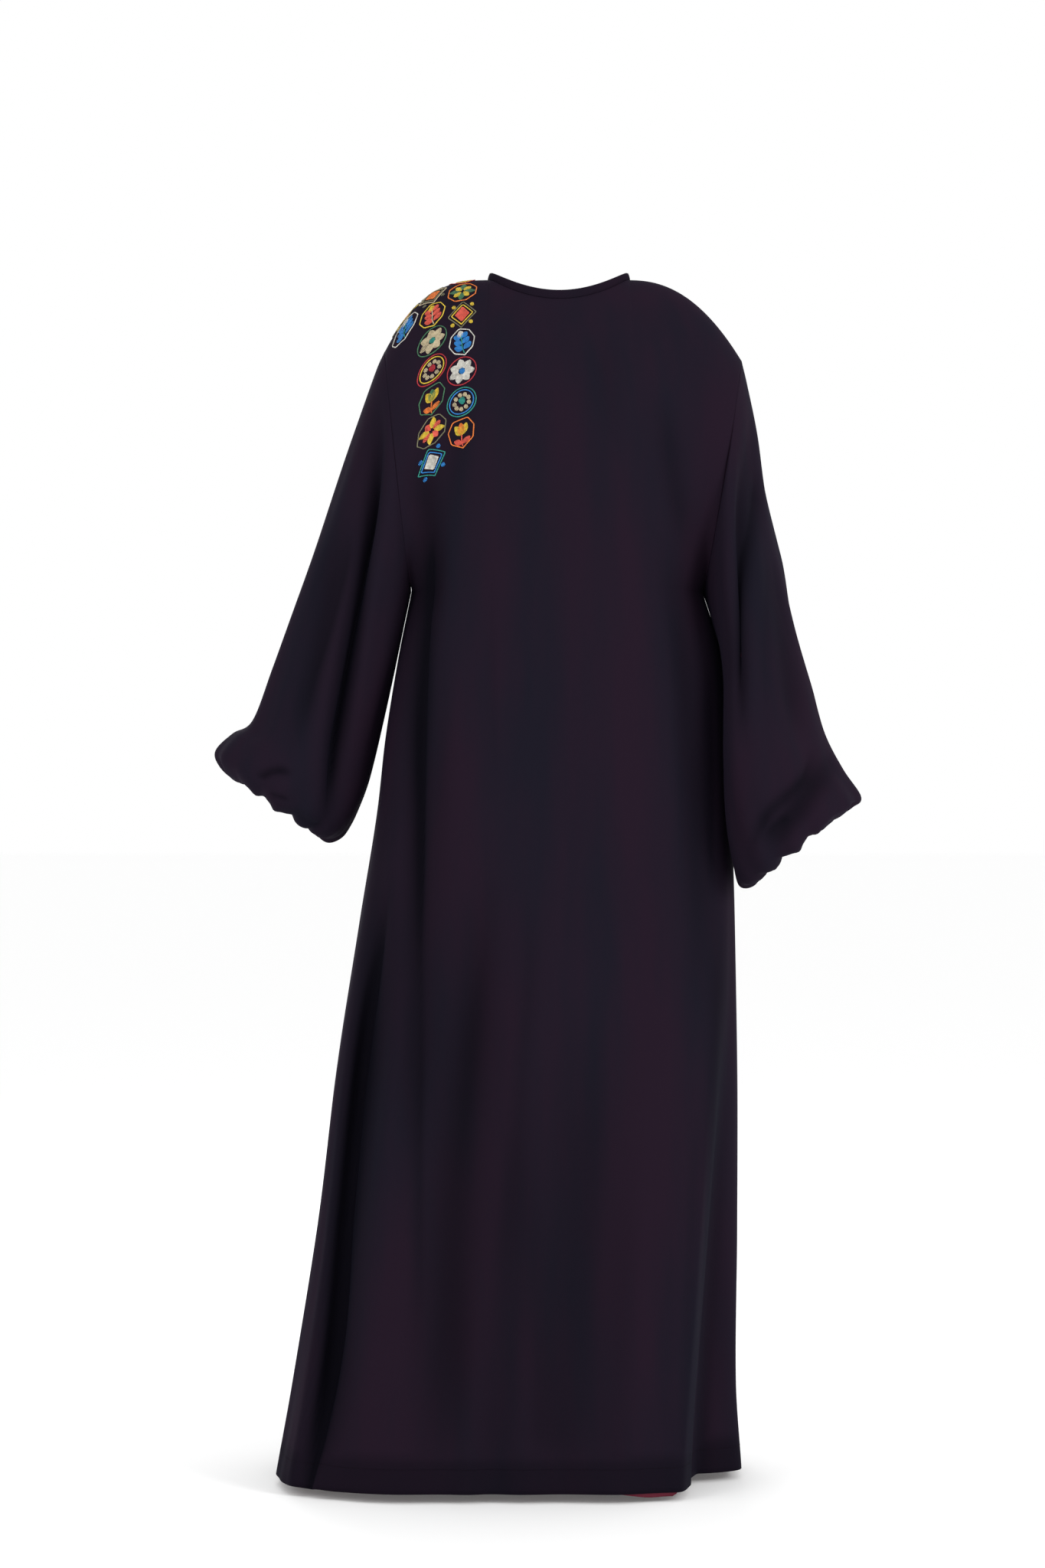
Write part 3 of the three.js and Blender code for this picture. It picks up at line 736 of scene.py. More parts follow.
def mesh_object(name: str, points: Grid, faces: Grid,
                materials: Sequence[bpy.types.Material]) -> bpy.types.Object:
    """Makes an object from points and faces with equal corner counts.

    Args:
        name: Its name.
        points: The points, in millimetres.
        faces: Indices of each face's corners.
        materials: Its materials.

    Returns:
        The new object, at the origin.
    """
    mesh = bpy.data.meshes.new(name)
    sides = faces.shape[1]
    mesh.vertices.add(len(points))
    mesh.vertices.foreach_set("co", (points * MM).astype(np.float32).ravel())
    mesh.loops.add(faces.size)
    mesh.loops.foreach_set("vertex_index", faces.astype(np.int32).ravel())
    mesh.polygons.add(len(faces))
    mesh.polygons.foreach_set("loop_start", np.arange(0, faces.size, sides, dtype=np.int32))
    mesh.update(calc_edges=True)
    mesh.validate()
    mesh.polygons.foreach_set("use_smooth", np.ones(len(mesh.polygons), bool))
    for m in materials:
        mesh.materials.append(m)
    piece = bpy.data.objects.new(name, mesh)
    bpy.context.collection.objects.link(piece)
    return piece


@dataclass
class ClothSheet:
    """A thin shell of cloth with the crepe outside and the lining inside."""

    name: str
    outer: Grid
    trough: Grid  # how much the colour is darkened at each point, from 0 to 1, mostly painted shade for how deep it lies in a fold
    closed: bool = False  # whether its columns go all round
    turned: bool = False  # whether they run clockwise
    wall: float = 1.3
    inner_finish: ClothFinish = LINING
    outer_finish: ClothFinish = CREPE

    def build(self, wardrobe: Wardrobe) -> bpy.types.Object:
        """Makes the shell.

        Args:
            wardrobe: Where its materials come from.

        Returns:
            The new object.
        """
        rows, cols = self.outer.shape[:2]
        inner = self.outer - normals(self.outer, self.closed, self.turned) * self.wall
        points = np.concatenate([self.outer.reshape(-1, 3), inner.reshape(-1, 3)])
        index = np.arange(rows * cols).reshape(rows, cols)
        if self.closed:
            index = np.concatenate([index, index[:, :1]], axis=1)
        a, b, d, c = index[:-1, :-1], index[:-1, 1:], index[1:, 1:], index[1:, :-1]
        skin = np.stack([a, b, d, c], -1).reshape(-1, 4)
        n = rows * cols
        parts = [skin, skin[:, ::-1] + n]
        rim_low = np.stack([index[0, :-1] + n, index[0, 1:] + n, index[0, 1:], index[0, :-1]], -1)
        rim_high = np.stack([index[-1, :-1], index[-1, 1:], index[-1, 1:] + n, index[-1, :-1] + n], -1)
        parts += [rim_low, rim_high]
        if not self.closed:
            start = np.stack([index[:-1, 0] + n, index[:-1, 0], index[1:, 0], index[1:, 0] + n], -1)
            end = np.stack([index[:-1, -1], index[:-1, -1] + n, index[1:, -1] + n, index[1:, -1]], -1)
            parts += [start, end]
        faces = np.concatenate(parts)
        if self.turned:
            faces = faces[:, ::-1]
        piece = mesh_object(self.name, points, faces,
                            [wardrobe.of(self.outer_finish), wardrobe.of(self.inner_finish)])
        slots = np.zeros(len(faces), np.int32)
        slots[len(skin):2 * len(skin)] = 1
        piece.data.polygons.foreach_set("material_index", slots)
        trough = piece.data.attributes.new("trough", "FLOAT", "POINT")
        trough.data.foreach_set("value", np.tile(self.trough.ravel(), 2).astype(np.float32))
        run = np.concatenate([np.zeros((rows, 1)),
                              np.cumsum(np.linalg.norm(np.diff(self.outer, axis=1), axis=2), axis=1)], axis=1)
        rise = np.concatenate([np.zeros((1, cols)),
                               np.cumsum(np.linalg.norm(np.diff(self.outer, axis=0), axis=2), axis=0)])
        flat = np.stack([run, rise], -1).reshape(-1, 2) * MM
        uv = piece.data.uv_layers.new(name="cut")
        uv.data.foreach_set("uv", np.tile(flat, (2, 1))[faces.ravel()].astype(np.float32).ravel())
        return piece

    def area(self) -> float:
        """The area of the cloth in square metres."""
        p = np.concatenate([self.outer, self.outer[:, :1]], 1) if self.closed else self.outer
        d1, d2 = p[1:, 1:] - p[:-1, :-1], p[1:, :-1] - p[:-1, 1:]
        return float(np.linalg.norm(np.cross(d1, d2), axis=2).sum() / 2 * MM * MM)

    def hang(self, wardrobe: Wardrobe, node: str, slot: str, flat: tuple[float, float], held: str) -> None:
        """Args:
            wardrobe: Where its materials come from.
            node: The node it stands for.
            slot: Its material slot; not used.
            flat: Width and length of its cut, in metres; not used.
            held: How it is held; not used.
        """
        piece, area = self.build(wardrobe), self.area()
        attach(piece, "root")
        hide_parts(node)
        LOG.info("%s: %d faces, %.2f square metres", piece.name, len(piece.data.polygons), area)


@dataclass
class Body:
    """The back and the two fronts."""

    form: RobeForm
    columns: int = 170
    skirt_rows: int = 150
    yoke_rows: int = 74
    lap_columns: int = 9
    lap_half: float = 18 / 560  # share of the front by which each front passes its middle
    lap_lift: float = 2.9  # how far the upper front stands off the lower one
    lap_ease: float = 45  # width over which it comes back
    width: float = 560  # of both fronts
    full_shade_depth: float = 26  # depth of a trough whose painted shade is as dark as can be
    hem_shade: float = 0.55  # how much darker the band along the hem is
    # width of the back's cut, of each front's, and their length, in metres
    cut: tuple[float, float, float] = (1.0, 0.62, 1.62)
    finer: tuple[Crease, ...] = (
        Crease("side trough", Face.BACK,
               ((153, -290), (163, -401), (166, -493), (165, -584), (165, -694), (167, -822), (166, -959)),
               8, 8, 0.65, 0.5, 0.15, 0.45, 2.2),
        Crease("side trough foot", Face.BACK, ((166, -800), (168, -1000), (166, -1180), (172, -1320)),
               5, 9, 0.4, 0.4, 0.4, 0.5, 1.8),
        Crease("shade under the arm", Face.BACK, ((140, -285), (156, -400), (166, -520), (176, -660)),
               6, 19, 0, 0.3, 0.3, 0.45, 2.4),
        Crease("shade at the armhole", Face.BACK, ((170, -190), (162, -250), (156, -320), (162, -410)),
               3, 17, 0, 0, 0.35, 0.35, 4.5),
        Crease("ridge beside the trough", Face.BACK, ((150, -330), (153, -500), (152, -700), (153, -900)),
               -2.2, 7, 0, 0, 0.3, 0.4, 0),
        Crease("sharp fold", Face.BACK,
               ((196, -690), (212, -777), (235, -945), (253, -1136), (262, -1264), (281, -1373), (304, -1460)),
               12, 9, 0.85, 0.5, 0.25, 0.02, 2.0),
        Crease("ridge beside the fold", Face.BACK,
               ((222, -760), (250, -945), (270, -1136), (288, -1300), (318, -1455)),
               -6, 9, 0, 0, 0.3, 0.05, 0),
        Crease("side shade", Face.BACK, ((204, -560), (226, -740), (252, -900)),
               4, 13, 0.2, 0, 0.4, 0.5, 1.8),
        Crease("long soft band", Face.BACK,
               ((76, -640), (90, -770), (106, -930), (122, -1060), (128, -1200), (126, -1400)),
               4, 22, 0.1, 0.2, 0.4, 0.25, 1.6),
        Crease("band beside it", Face.BACK, ((88, -760), (108, -920), (124, -1100)),
               2.2, 8, 0.4, 0, 0.4, 0.4, 1.5),
        Crease("short band", Face.BACK, ((50, -700), (38, -800), (46, -920), (58, -1080), (76, -1250)),
               3, 11, 0.2, 0, 0.3, 0.4, 1.5),
        Crease("thin line left of centre", Face.BACK, ((82, -330), (80, -480), (76, -640)),
               1.2, 7, 0.5, 0.4, 0.4, 0.5, 2),
        Crease("low middle", Face.BACK, ((34, -1040), (27, -1220), (20, -1400)),
               3, 17, 0.1, 0, 0.45, 0.1, 1.2),
        Crease("low right", Face.BACK, ((-76, -1000), (-70, -1220), (-64, -1440)),
               3.5, 19, 0.1, 0, 0.5, 0.1, 1.2),
        Crease("right shade", Face.BACK,
               ((-126, -290), (-150, -420), (-162, -560), (-168, -720), (-164, -920)),
               6, 23, 0.1, -0.2, 0.3, 0.4, 1.9),
        Crease("right trough", Face.BACK,
               ((-184, -430), (-187, -500), (-189, -580), (-189, -658), (-186, -760)),
               3, 8, 0.5, 0, 0.3, 0.2, 0.6),
        Crease("right back ridge", Face.BACK, ((-112, -330), (-128, -480), (-136, -640), (-138, -820)),
               -2.6, 12, 0, 0, 0.3, 0.5, 0),
        Crease("shade at the turned edge", Face.BACK,
               ((-196, -740), (-190, -950), (-183, -1150), (-173, -1300), (-162, -1440)),
               1.2, 13, 0, 0, 0.2, 0.02, 11),
        Crease("right low line", Face.BACK, ((-164, -930), (-155, -1130), (-146, -1330), (-141, -1440)),
               2.5, 8, 0.4, 0, 0.4, 0.1, 1.6),
        Crease("blade left", Face.BACK, ((118, -110), (128, -220), (150, -330)), 2.5, 15, 0.2, 0, 0.4, 0.5),
        Crease("blade right", Face.BACK, ((-120, -130), (-136, -230), (-156, -330)),
               4, 13, 0.3, 0, 0.4, 0.3, 2.2),
        Crease("neck drag left", Face.BACK, ((62, -46), (50, -110), (58, -210)), 1.8, 13, 0.3, 0, 0.4, 0.6),
        Crease("neck drag right", Face.BACK, ((-60, -50), (-52, -120), (-68, -220)),
               1.6, 13, 0.3, 0, 0.4, 0.6),
        Crease("front left trough", Face.FRONT, ((158, -320), (164, -560), (176, -900)),
               9, 18, 0.3, 0, 0.3, 0.5),
        Crease("front right trough", Face.FRONT, ((-152, -330), (-168, -560), (-178, -860)),
               9, 18, 0.3, 0, 0.3, 0.5),
        Crease("front drag left", Face.FRONT, ((80, -150), (96, -300), (104, -520)),
               3.5, 20, 0.2, 0, 0.4, 0.5),
        Crease("front drag right", Face.FRONT, ((-78, -160), (-98, -320), (-100, -540)),
               3.5, 20, 0.2, 0, 0.4, 0.5),
        Crease("front low left", Face.FRONT, ((140, -900), (170, -1180), (196, -1440)),
               6, 16, 0.5, 0, 0.4, 0.05),
        Crease("front low middle", Face.FRONT, ((8, -900), (16, -1180), (22, -1440)),
               4, 24, 0.1, 0, 0.4, 0.1),
        Crease("front low right", Face.FRONT, ((-112, -820), (-116, -1120), (-110, -1440)),
               6, 17, 0.4, 0, 0.4, 0.05),
    )
    # for each set of soft waves: how many go all round, their height, their start and their drift down the robe
    waves: tuple[tuple[int, float, float, float], ...] = (
        (9, 1.5, 0.4, 1.1), (13, 1.2, 2.1, -1.6), (17, 1.0, 4.4, 2.3),
        (26, 0.55, 1.3, -2.9), (37, 0.3, 5.1, 3.7))

    def wave(self, phi: Grid, z: Grid) -> Grid:
        """Soft uneven waves all round, which grow towards the hem.

        Args:
            phi: The way round, from the wearer's left by the back.
            z: The height.

        Returns:
            How far the cloth stands out, in millimetres.
        """
        down = smooth(-z, 380, 1440)
        total = np.zeros(phi.shape)
        for count, height, phase, drift in self.waves:
            total += height * np.sin(count * phi + phase + drift * z / 500)
        return total * (0.12 + 1.15 * down) * smooth(-z, 150, 520)

    def grid(self, face: Face, u: Grid) -> tuple[Grid, Grid]:
        """A panel with all its creases.

        Args:
            face: Which panel.
            u: Shares across it.

        Returns:
            Its points and how much each is darkened: painted shade for how deep it lies in a fold, and a darker
                band along the hem.
        """
        skirt = np.linspace(0, 1, self.skirt_rows)
        yoke = np.linspace(0, 1, self.yoke_rows + 1)[1:]
        p = self.form.panel(face, u, skirt, yoke)
        x, z = p[..., 0], p[..., 2]
        inside = smooth(np.abs(p[..., 1]), 0, 34) * smooth(self.form.neck_top - 24 - z, 0, 60)
        fine = depth_of(self.finer, face, x, z) * inside
        # painted shade: the colour is darkened in the creases for their depth
        shade = depth_of(self.finer, face, x, z, True) * inside + 0.8 * depth_of(self.form.creases, face, x, z)
        n = normals(p, False)
        phi = np.pi * (u if face is Face.BACK else 1 + u)
        lift = self.wave(np.broadcast_to(phi, x.shape), z) - fine
        hem_band = self.hem_shade * (1 - smooth(z, self.form.hem.z + 30, self.form.hem.z + 52))
        return p + n * lift[..., None], np.clip(np.maximum(shade / self.full_shade_depth, hem_band), 0, 1)

    def build(self, wardrobe: Wardrobe) -> dict[str, ClothSheet]:
        """Makes the three panels.

        Args:
            wardrobe: Where their materials come from.

        Returns:
            The sheets by name.
        """
        back_p, back_t = self.grid(Face.BACK, np.linspace(0, 1, self.columns))
        half = self.columns // 2
        lap = np.linspace(0.5 - self.lap_half, 0.5 + self.lap_half, self.lap_columns)
        u_right = np.concatenate([np.linspace(0, 0.5 - self.lap_half, half)[:-1], lap])
        u_left = np.concatenate([lap, np.linspace(0.5 + self.lap_half, 1, half)[1:]])
        right_p, right_t = self.grid(Face.FRONT, u_right)
        left_p, left_t = self.grid(Face.FRONT, u_left)
        away = self.width * np.maximum(0, 0.5 - self.lap_half - u_right)
        lift = self.lap_lift * (1 - smooth(away, 0, self.lap_ease))
        right_p = right_p + normals(right_p, False) * lift[None, :, None]
        back_wide, front_wide, long = self.cut
        panels = (("back_shell", "back_panel", back_wide, back_p, back_t),
                  ("front_right_shell", "front_right", front_wide, right_p, right_t),
                  ("front_left_shell", "front_left", front_wide, left_p, left_t))
        sheets = {}
        for name, node, wide, points, trough in panels:
            sheets[name] = ClothSheet(name, points, trough)
            sheets[name].hang(wardrobe, node, "cloth", (wide, long), "hung")
        return sheets


@dataclass
class Sleeve:
    """One bishop sleeve with its gathered cuff."""

    form: SleeveForm
    columns: int = 168
    rows: int = 150
    cuff_length: float = 24
    cuff_rows: int = 22
    stitch_rows: tuple[float, float] = (0.33, 0.68)  # shares down the cuff of its rows of stitching
    stitch_wide: float = 0.09  # share of its length that the press of a row takes
    stitch_deep: float = 1.3
    ribs: int = 37

    def small_gathers(self, angle: Grid, t: Grid) -> Grid:
        """Small uneven gathers near the cuff, and soft waves from the armhole down.

        Args:
            angle: The angle round the sleeve.
            t: The section.

        Returns:
            Their height in millimetres.
        """
        near = smooth(t, 8.2, 12.2)
        wander = 1 + 0.35 * np.sin(5 * angle + 0.7)
        fine = 0.7 * np.sin(29 * angle + 0.6 * t) + 0.6 * np.sin(19 * angle + 2 + 0.9 * t)
        soft = 0.8 * np.sin(7 * angle + 0.9 * t) + 0.5 * np.sin(11 * angle - 0.7 * t + 2)
        return near * wander * fine + smooth(t, 1.0, 3.0) * soft

    def build(self, wardrobe: Wardrobe) -> ClothSheet:
        """Makes the sleeve and its cuff.

        Args:
            wardrobe: Where their materials come from.

        Returns:
            The sleeve's sheet.
        """
        side = "left" if self.form.side is Side.LEFT else "right"
        share = np.linspace(0, 1, self.rows)
        closer = 0.05 * np.sin(np.pi * share) * (share - 0.5)  # rows lie closer in the middle
        t = self.form.end * (share + closer)
        points, trough = self.form.grid(self.columns, t, self.small_gathers)
        turned = self.form.side is Side.LEFT
        sleeve = ClothSheet(f"sleeve_{side}_shell", points, trough, True, turned)
        sleeve.hang(wardrobe, f"sleeve_{side}", "cloth", (0.62, 0.66), "gathered")
        self.cuff(points[-1], side, turned, wardrobe)
        return sleeve

    def cuff(self, ring: Grid, side: str, turned: bool, wardrobe: Wardrobe) -> None:
        """Makes the cuff: a band drawn up on elastic, with two rows of stitching pressed in.

        Args:
            ring: The last row of the sleeve.
            side: The name of its side.
            turned: Whether its columns run clockwise.
            wardrobe: Where its materials come from.
        """
        last = self.form.sections[-1]
        across = np.array([last.out_x - last.in_x, 0, last.out_z - last.in_z], float)
        down = np.array([self.form.side.value * abs(across[2]), 0, -abs(across[0])])
        down /= np.linalg.norm(down)
        middle = ring.mean(axis=0)
        share = np.linspace(0, 1, self.cuff_rows)
        angle = 2 * np.pi * np.arange(len(ring)) / len(ring)
        rib = 0.8 * np.sin(self.ribs * angle)[None, :] * (0.5 + 0.5 * np.sin(np.pi * share)[:, None])
        pressed = sum(np.exp(-(((share - at) / self.stitch_wide) ** 2)) for at in self.stitch_rows)
        rows = self.stitch_deep * pressed[:, None]
        spoke = ring - middle
        spoke /= np.linalg.norm(spoke, axis=1, keepdims=True)
        points = ring[None] + down * (0.5 + share[:, None, None] * self.cuff_length) \
            + spoke[None] * (rib - rows + 1.2 * np.sin(np.pi * share)[:, None])[..., None]
        # painted shade in the pressed rows of stitching
        trough = np.clip(np.broadcast_to(rows / 3, rib.shape), 0, 1)
        sheet = ClothSheet(f"cuff_{side}_shell", points, trough, True, turned)
        sheet.hang(wardrobe, f"cuff_{side}", "cloth", (0.24, 0.03), "gathered")


@dataclass
class NeckBand:
    """The narrow binding, folded over the neckline's edge and standing up from it."""

    height: float = 8.5
    overlap: float = 3.2  # how far it reaches down the panels on either side
    half: float = 1.7  # half its thickness
    wall: float = 0.9
    bulge: float = 0.5
    rows: int = 6
    crown: float = 0.9  # how far its fold stands above its sides
    lean: float = 0.25  # how far it leans in to the neck for its height
    sunk: float = 0.65  # how far its middle lies behind the panels' outer face
    apart: float = 0.8  # least distance between two of its columns
    shade: float = 0.25

    def edge(self, sheet: ClothSheet, form: RobeForm) -> tuple[Grid, Grid, Grid]:
        """The stretch of a panel's top edge that lies on the neckline.

        Args:
            sheet: The panel.
            form: The robe's form.

        Returns:
            Its points, the way down the cloth and the way out of it at each.
        """
        row = sheet.outer[-1]
        keep = np.abs(row[:, 0]) <= form.neck_half + 0.6
        down = sheet.outer[-3] - row
        down /= np.linalg.norm(down, axis=1, keepdims=True)
        return row[keep], down[keep], normals(sheet.outer, False)[-1][keep]

    def build(self, body: dict[str, ClothSheet], form: RobeForm, wardrobe: Wardrobe) -> None:
        """Makes the binding on the panels' top edges.

        Args:
            body: The robe's panels.
            form: Their form.
            wardrobe: Where its materials come from.
        """
        parts = [self.edge(body[n], form) for n in ("front_left_shell", "back_shell", "front_right_shell")]
        parts[1] = tuple(column[1:-1] for column in parts[1])
        line, down, face_out = (np.concatenate([part[k] for part in parts]) for k in range(3))
        keep = np.concatenate([[True], np.linalg.norm(np.diff(line, axis=0), axis=1) > self.apart])
        line, down, face_out = line[keep], down[keep], face_out[keep]
        towards = -line * np.array([1, 1, 0])
        towards /= np.linalg.norm(towards, axis=1, keepdims=True)
        rise = np.array([0, 0, 1]) + self.lean * towards
        rise /= np.linalg.norm(rise, axis=1, keepdims=True)
        out = -towards + rise * (towards * rise).sum(1, keepdims=True)
        out /= np.linalg.norm(out, axis=1, keepdims=True)
        core = line - face_out * self.sunk
        share = np.linspace(0, 1, self.rows)
        outside = [core + down * self.overlap + face_out * self.half]
        outside += [core + rise * self.height * s + out * (self.half + self.bulge * math.sin(math.pi * s))
                    for s in share]
        top = [core + rise * (self.height + self.crown)]
        inside = [core + rise * self.height * s - out * (self.half - 0.5) for s in share[::-1]]
        inside += [core + down * self.overlap - face_out * (self.half + 0.2)]
        points = np.stack(outside + top + inside)
        trough = np.full(points.shape[:2], self.shade)
        sheet = ClothSheet("neck_band_shell", points, trough, wall=self.wall, inner_finish=CREPE)
        sheet.hang(wardrobe, "neck_band", "cloth", (0.56, 0.026), "stretched")


@dataclass
class HemLining:
    """The foot of the lining inside the back, which shows as a sliver below the hem."""

    height: float = 90
    wall: float = 0.8
    gap: float = 1.2  # between it and the back
    shy: float = 3  # how far it ends above the hem
    drop: float = 5  # how far it shows below the hem in the sliver
    sliver: tuple[float, float] = (-36, -132)  # x where the sliver starts and ends
    swell: float = 16  # how far before its end it is deepest
    end: float = 10  # width over which it ends

    def build(self, back: ClothSheet, wardrobe: Wardrobe) -> None:
        """Makes the foot of the lining.

        Args:
            back: The back panel.
            wardrobe: Where its materials come from.
        """
        rows = int(np.searchsorted(back.outer[:, 0, 2], back.outer[0, 0, 2] + self.height)) + 1
        inner = back.outer - normals(back.outer, False) * (back.wall + self.gap)
        p = inner[:rows].copy()
        right = -p[0, :, 0]
        start, stop = -self.sliver[0], -self.sliver[1]
        inside = smooth(right, start, stop - self.swell) * (1 - smooth(right, stop, stop + self.end))
        wavy = 0.6 * np.sin(right / 9) * inside
        move = self.shy - (self.drop + self.shy) * inside + wavy
        share = np.linspace(0, 1, rows)[:, None]
        slope = (p[1] - p[0]) / (p[1, :, 2:] - p[0, :, 2:])
        p = p + slope[None] * (move[None, :] * (1 - share))[..., None]
        sheet = ClothSheet("lining_shell", p, np.zeros(p.shape[:2]), wall=self.wall, outer_finish=LINING)
        sheet.hang(wardrobe, "back_lining", "lining", (1.0, 0.1), "hung")


class Stitch:
    """One stitch, modelled once: a small round-ended length of thread along X, one unit long and thick."""

    sides: int = 5
    raised: float = 0.22  # height of its middle above its ends, in widths of its thread
    over: float = 0.7  # how much longer it is than the way between its ends, in widths
    flatness: float = 0.8  # its height for its width

    def __init__(self) -> None:
        """Models the stitch and keeps its points and faces."""
        bpy.ops.object.select_all(action="DESELECT")
        bpy.ops.mesh.primitive_cylinder_add(vertices=self.sides, radius=0.5, depth=0.72, end_fill_type="NGON",
                                            rotation=(0, math.pi / 2, 0))
        bpy.ops.object.mode_set(mode="EDIT")
        bpy.ops.mesh.select_all(action="SELECT")
        bpy.ops.object.mode_set(mode="OBJECT")
        for polygon in bpy.context.object.data.polygons:
            polygon.select = len(polygon.vertices) == self.sides
        bpy.ops.object.mode_set(mode="EDIT")
        bpy.ops.mesh.select_mode(type="FACE")
        bpy.ops.mesh.extrude_faces_move(TRANSFORM_OT_shrink_fatten={"value": 0.12})
        bpy.ops.transform.resize(value=(1, 0.5, 0.5), center_override=(0, 0, 0))
        bpy.ops.mesh.select_all(action="SELECT")
        bpy.ops.mesh.quads_convert_to_tris()
        bpy.ops.object.mode_set(mode="OBJECT")
        bpy.ops.object.transform_apply(location=True, rotation=True, scale=True)
        made = bpy.context.object
        self.points = np.array([v.co for v in made.data.vertices], float)
        self.faces = np.array([list(p.vertices) for p in made.data.polygons], int)
        bpy.data.objects.remove(made)
        span = self.points[:, 0].max() - self.points[:, 0].min()
        self.points[:, 0] /= span

    def along(self, start: Grid, end: Grid, out: Grid, thick: Grid) -> tuple[Grid, Grid]:
        """Copies of the stitch between pairs of points.

        Args:
            start: Where each begins.
            end: Where each ends.
            out: The way out of the cloth at each.
            thick: The thread's width at each.

        Returns:
            Their joined points and faces.
        """
        way = end - start
        length = np.linalg.norm(way, axis=1, keepdims=True)
        way = way / np.maximum(length, TINY)
        flat = np.cross(out, way)
        flat /= np.maximum(np.linalg.norm(flat, axis=1, keepdims=True), TINY)
        up = np.cross(way, flat)
        middle = (start + end) / 2 + up * thick[:, None] * self.raised
        x, y, z = (self.points[None, :, k, None] for k in range(3))
        wide = thick[:, None, None]
        p = middle[:, None] + way[:, None] * x * (length[:, None] + wide * self.over) \
            + flat[:, None] * y * wide + up[:, None] * z * wide * self.flatness
        faces = self.faces[None] + (np.arange(len(start)) * len(self.points))[:, None, None]
        return p.reshape(-1, 3), faces.reshape(-1, 3)


class Chart:
    """Lays a flat drawing on the left shoulder: across is out from the neck, and down is from the seam."""

    def __init__(self, back: ClothSheet, front: ClothSheet, form: RobeForm, reach: float = 330,
                 step: float = 2) -> None:
        """Measures the panels' columns from the shoulder seam.

        Args:
            back: The back panel.
            front: The left front.
            form: Their form.
            reach: How far down it goes, in millimetres.
            step: How far apart its rows are.
        """
        self.neck, self.step = form.neck_half, step
        self.off_middle, self.off_edge = 1, 2  # how far a stitch keeps from the middle and from the armhole
        self.points: dict[Face, Grid] = {}
        self.out: dict[Face, Grid] = {}
        self.above: dict[Face, Grid] = {}
        at = np.arange(0, reach + step, step)
        for face, sheet in ((Face.BACK, back), (Face.FRONT, front)):
            p, n = sheet.outer[::-1], normals(sheet.outer, False)[::-1]
            if face is Face.FRONT:
                p, n = p[:, ::-1], n[:, ::-1]
            half = int(np.argmax(p[0, :, 0] < 0))
            p, n = p[:, half - 1::-1], n[:, half - 1::-1]
            in_neck = p[0, :, 0] < form.neck_half - 1
            above = np.where(in_neck, np.hypot(p[0, :, 1], form.neck_top - p[0, :, 2]), 0)
            run = np.concatenate([np.zeros((1, p.shape[1])),
                                  np.cumsum(np.linalg.norm(np.diff(p, axis=0), axis=2), axis=0)]) + above
            self.points[face], self.out[face] = (
                np.stack([read_line(at, run[:, j], values[:, j]) for j in range(p.shape[1])], 1)
                for values in (p, n))
            self.above[face] = above

    def lay(self, across: Grid, down: Grid) -> tuple[Grid, Grid, Grid]:
        """Lays points of the drawing on the cloth.

        Args:
            across: Millimetres out from the neck corner.
            down: Millimetres down the back from the shoulder seam, or less than 0 down the front.

        Returns:
            The points, the way out at each, and whether there is cloth at each.
        """
        points, out = np.zeros((len(across), 3)), np.zeros((len(across), 3))
        on = np.ones(len(across), bool)
        for i, (x, d) in enumerate(zip(across + self.neck, down)):
            face = Face.BACK if d >= 0 else Face.FRONT
            row = abs(d) / self.step
            low = min(int(row), len(self.points[face]) - 2)
            for k, weight in ((low, low + 1 - row), (low + 1, row - low)):
                xs = self.points[face][k, :, 0]
                on[i] &= bool(xs[0] + self.off_middle < x < xs[-1] - self.off_edge)
                j = int(np.clip(np.searchsorted(xs, x) - 1, 0, len(xs) - 2))
                f = float(np.clip((x - xs[j]) / max(xs[j + 1] - xs[j], TINY), 0, 1))
                on[i] &= bool(abs(d) >= max(self.above[face][j], self.above[face][j + 1]))
                points[i] += weight * ((1 - f) * self.points[face][k, j] + f * self.points[face][k, j + 1])
                out[i] += weight * ((1 - f) * self.out[face][k, j] + f * self.out[face][k, j + 1])
        return points, out / np.maximum(np.linalg.norm(out, axis=1, keepdims=True), TINY), on


@dataclass(frozen=True)
class Stroke:
    """One thread of a motif, from point to point, in millimetres from the motif's middle."""

    start: tuple[float, float]
    end: tuple[float, float]
    thread: Thread
    thick: float = 1.28


class Motif(Enum):
    """The embroidered motifs."""

    DAISY = "daisy"
    LEAF = "leaf"
    DIAMOND = "diamond"
    STAR = "star"
    TULIP = "tulip"
    RINGS = "rings"


def ring(radius: float, count: int = 28, turn: float = 0.0) -> list[tuple[float, float]]:
    """Points evenly round a motif's middle.

    Args:
        radius: How far from it they lie.
        count: How many.
        turn: The angle of the first.

    Returns:
        The points.
    """
    angles = [math.tau * i / count + turn for i in range(count)]
    return [(radius * math.cos(a), radius * math.sin(a)) for a in angles]


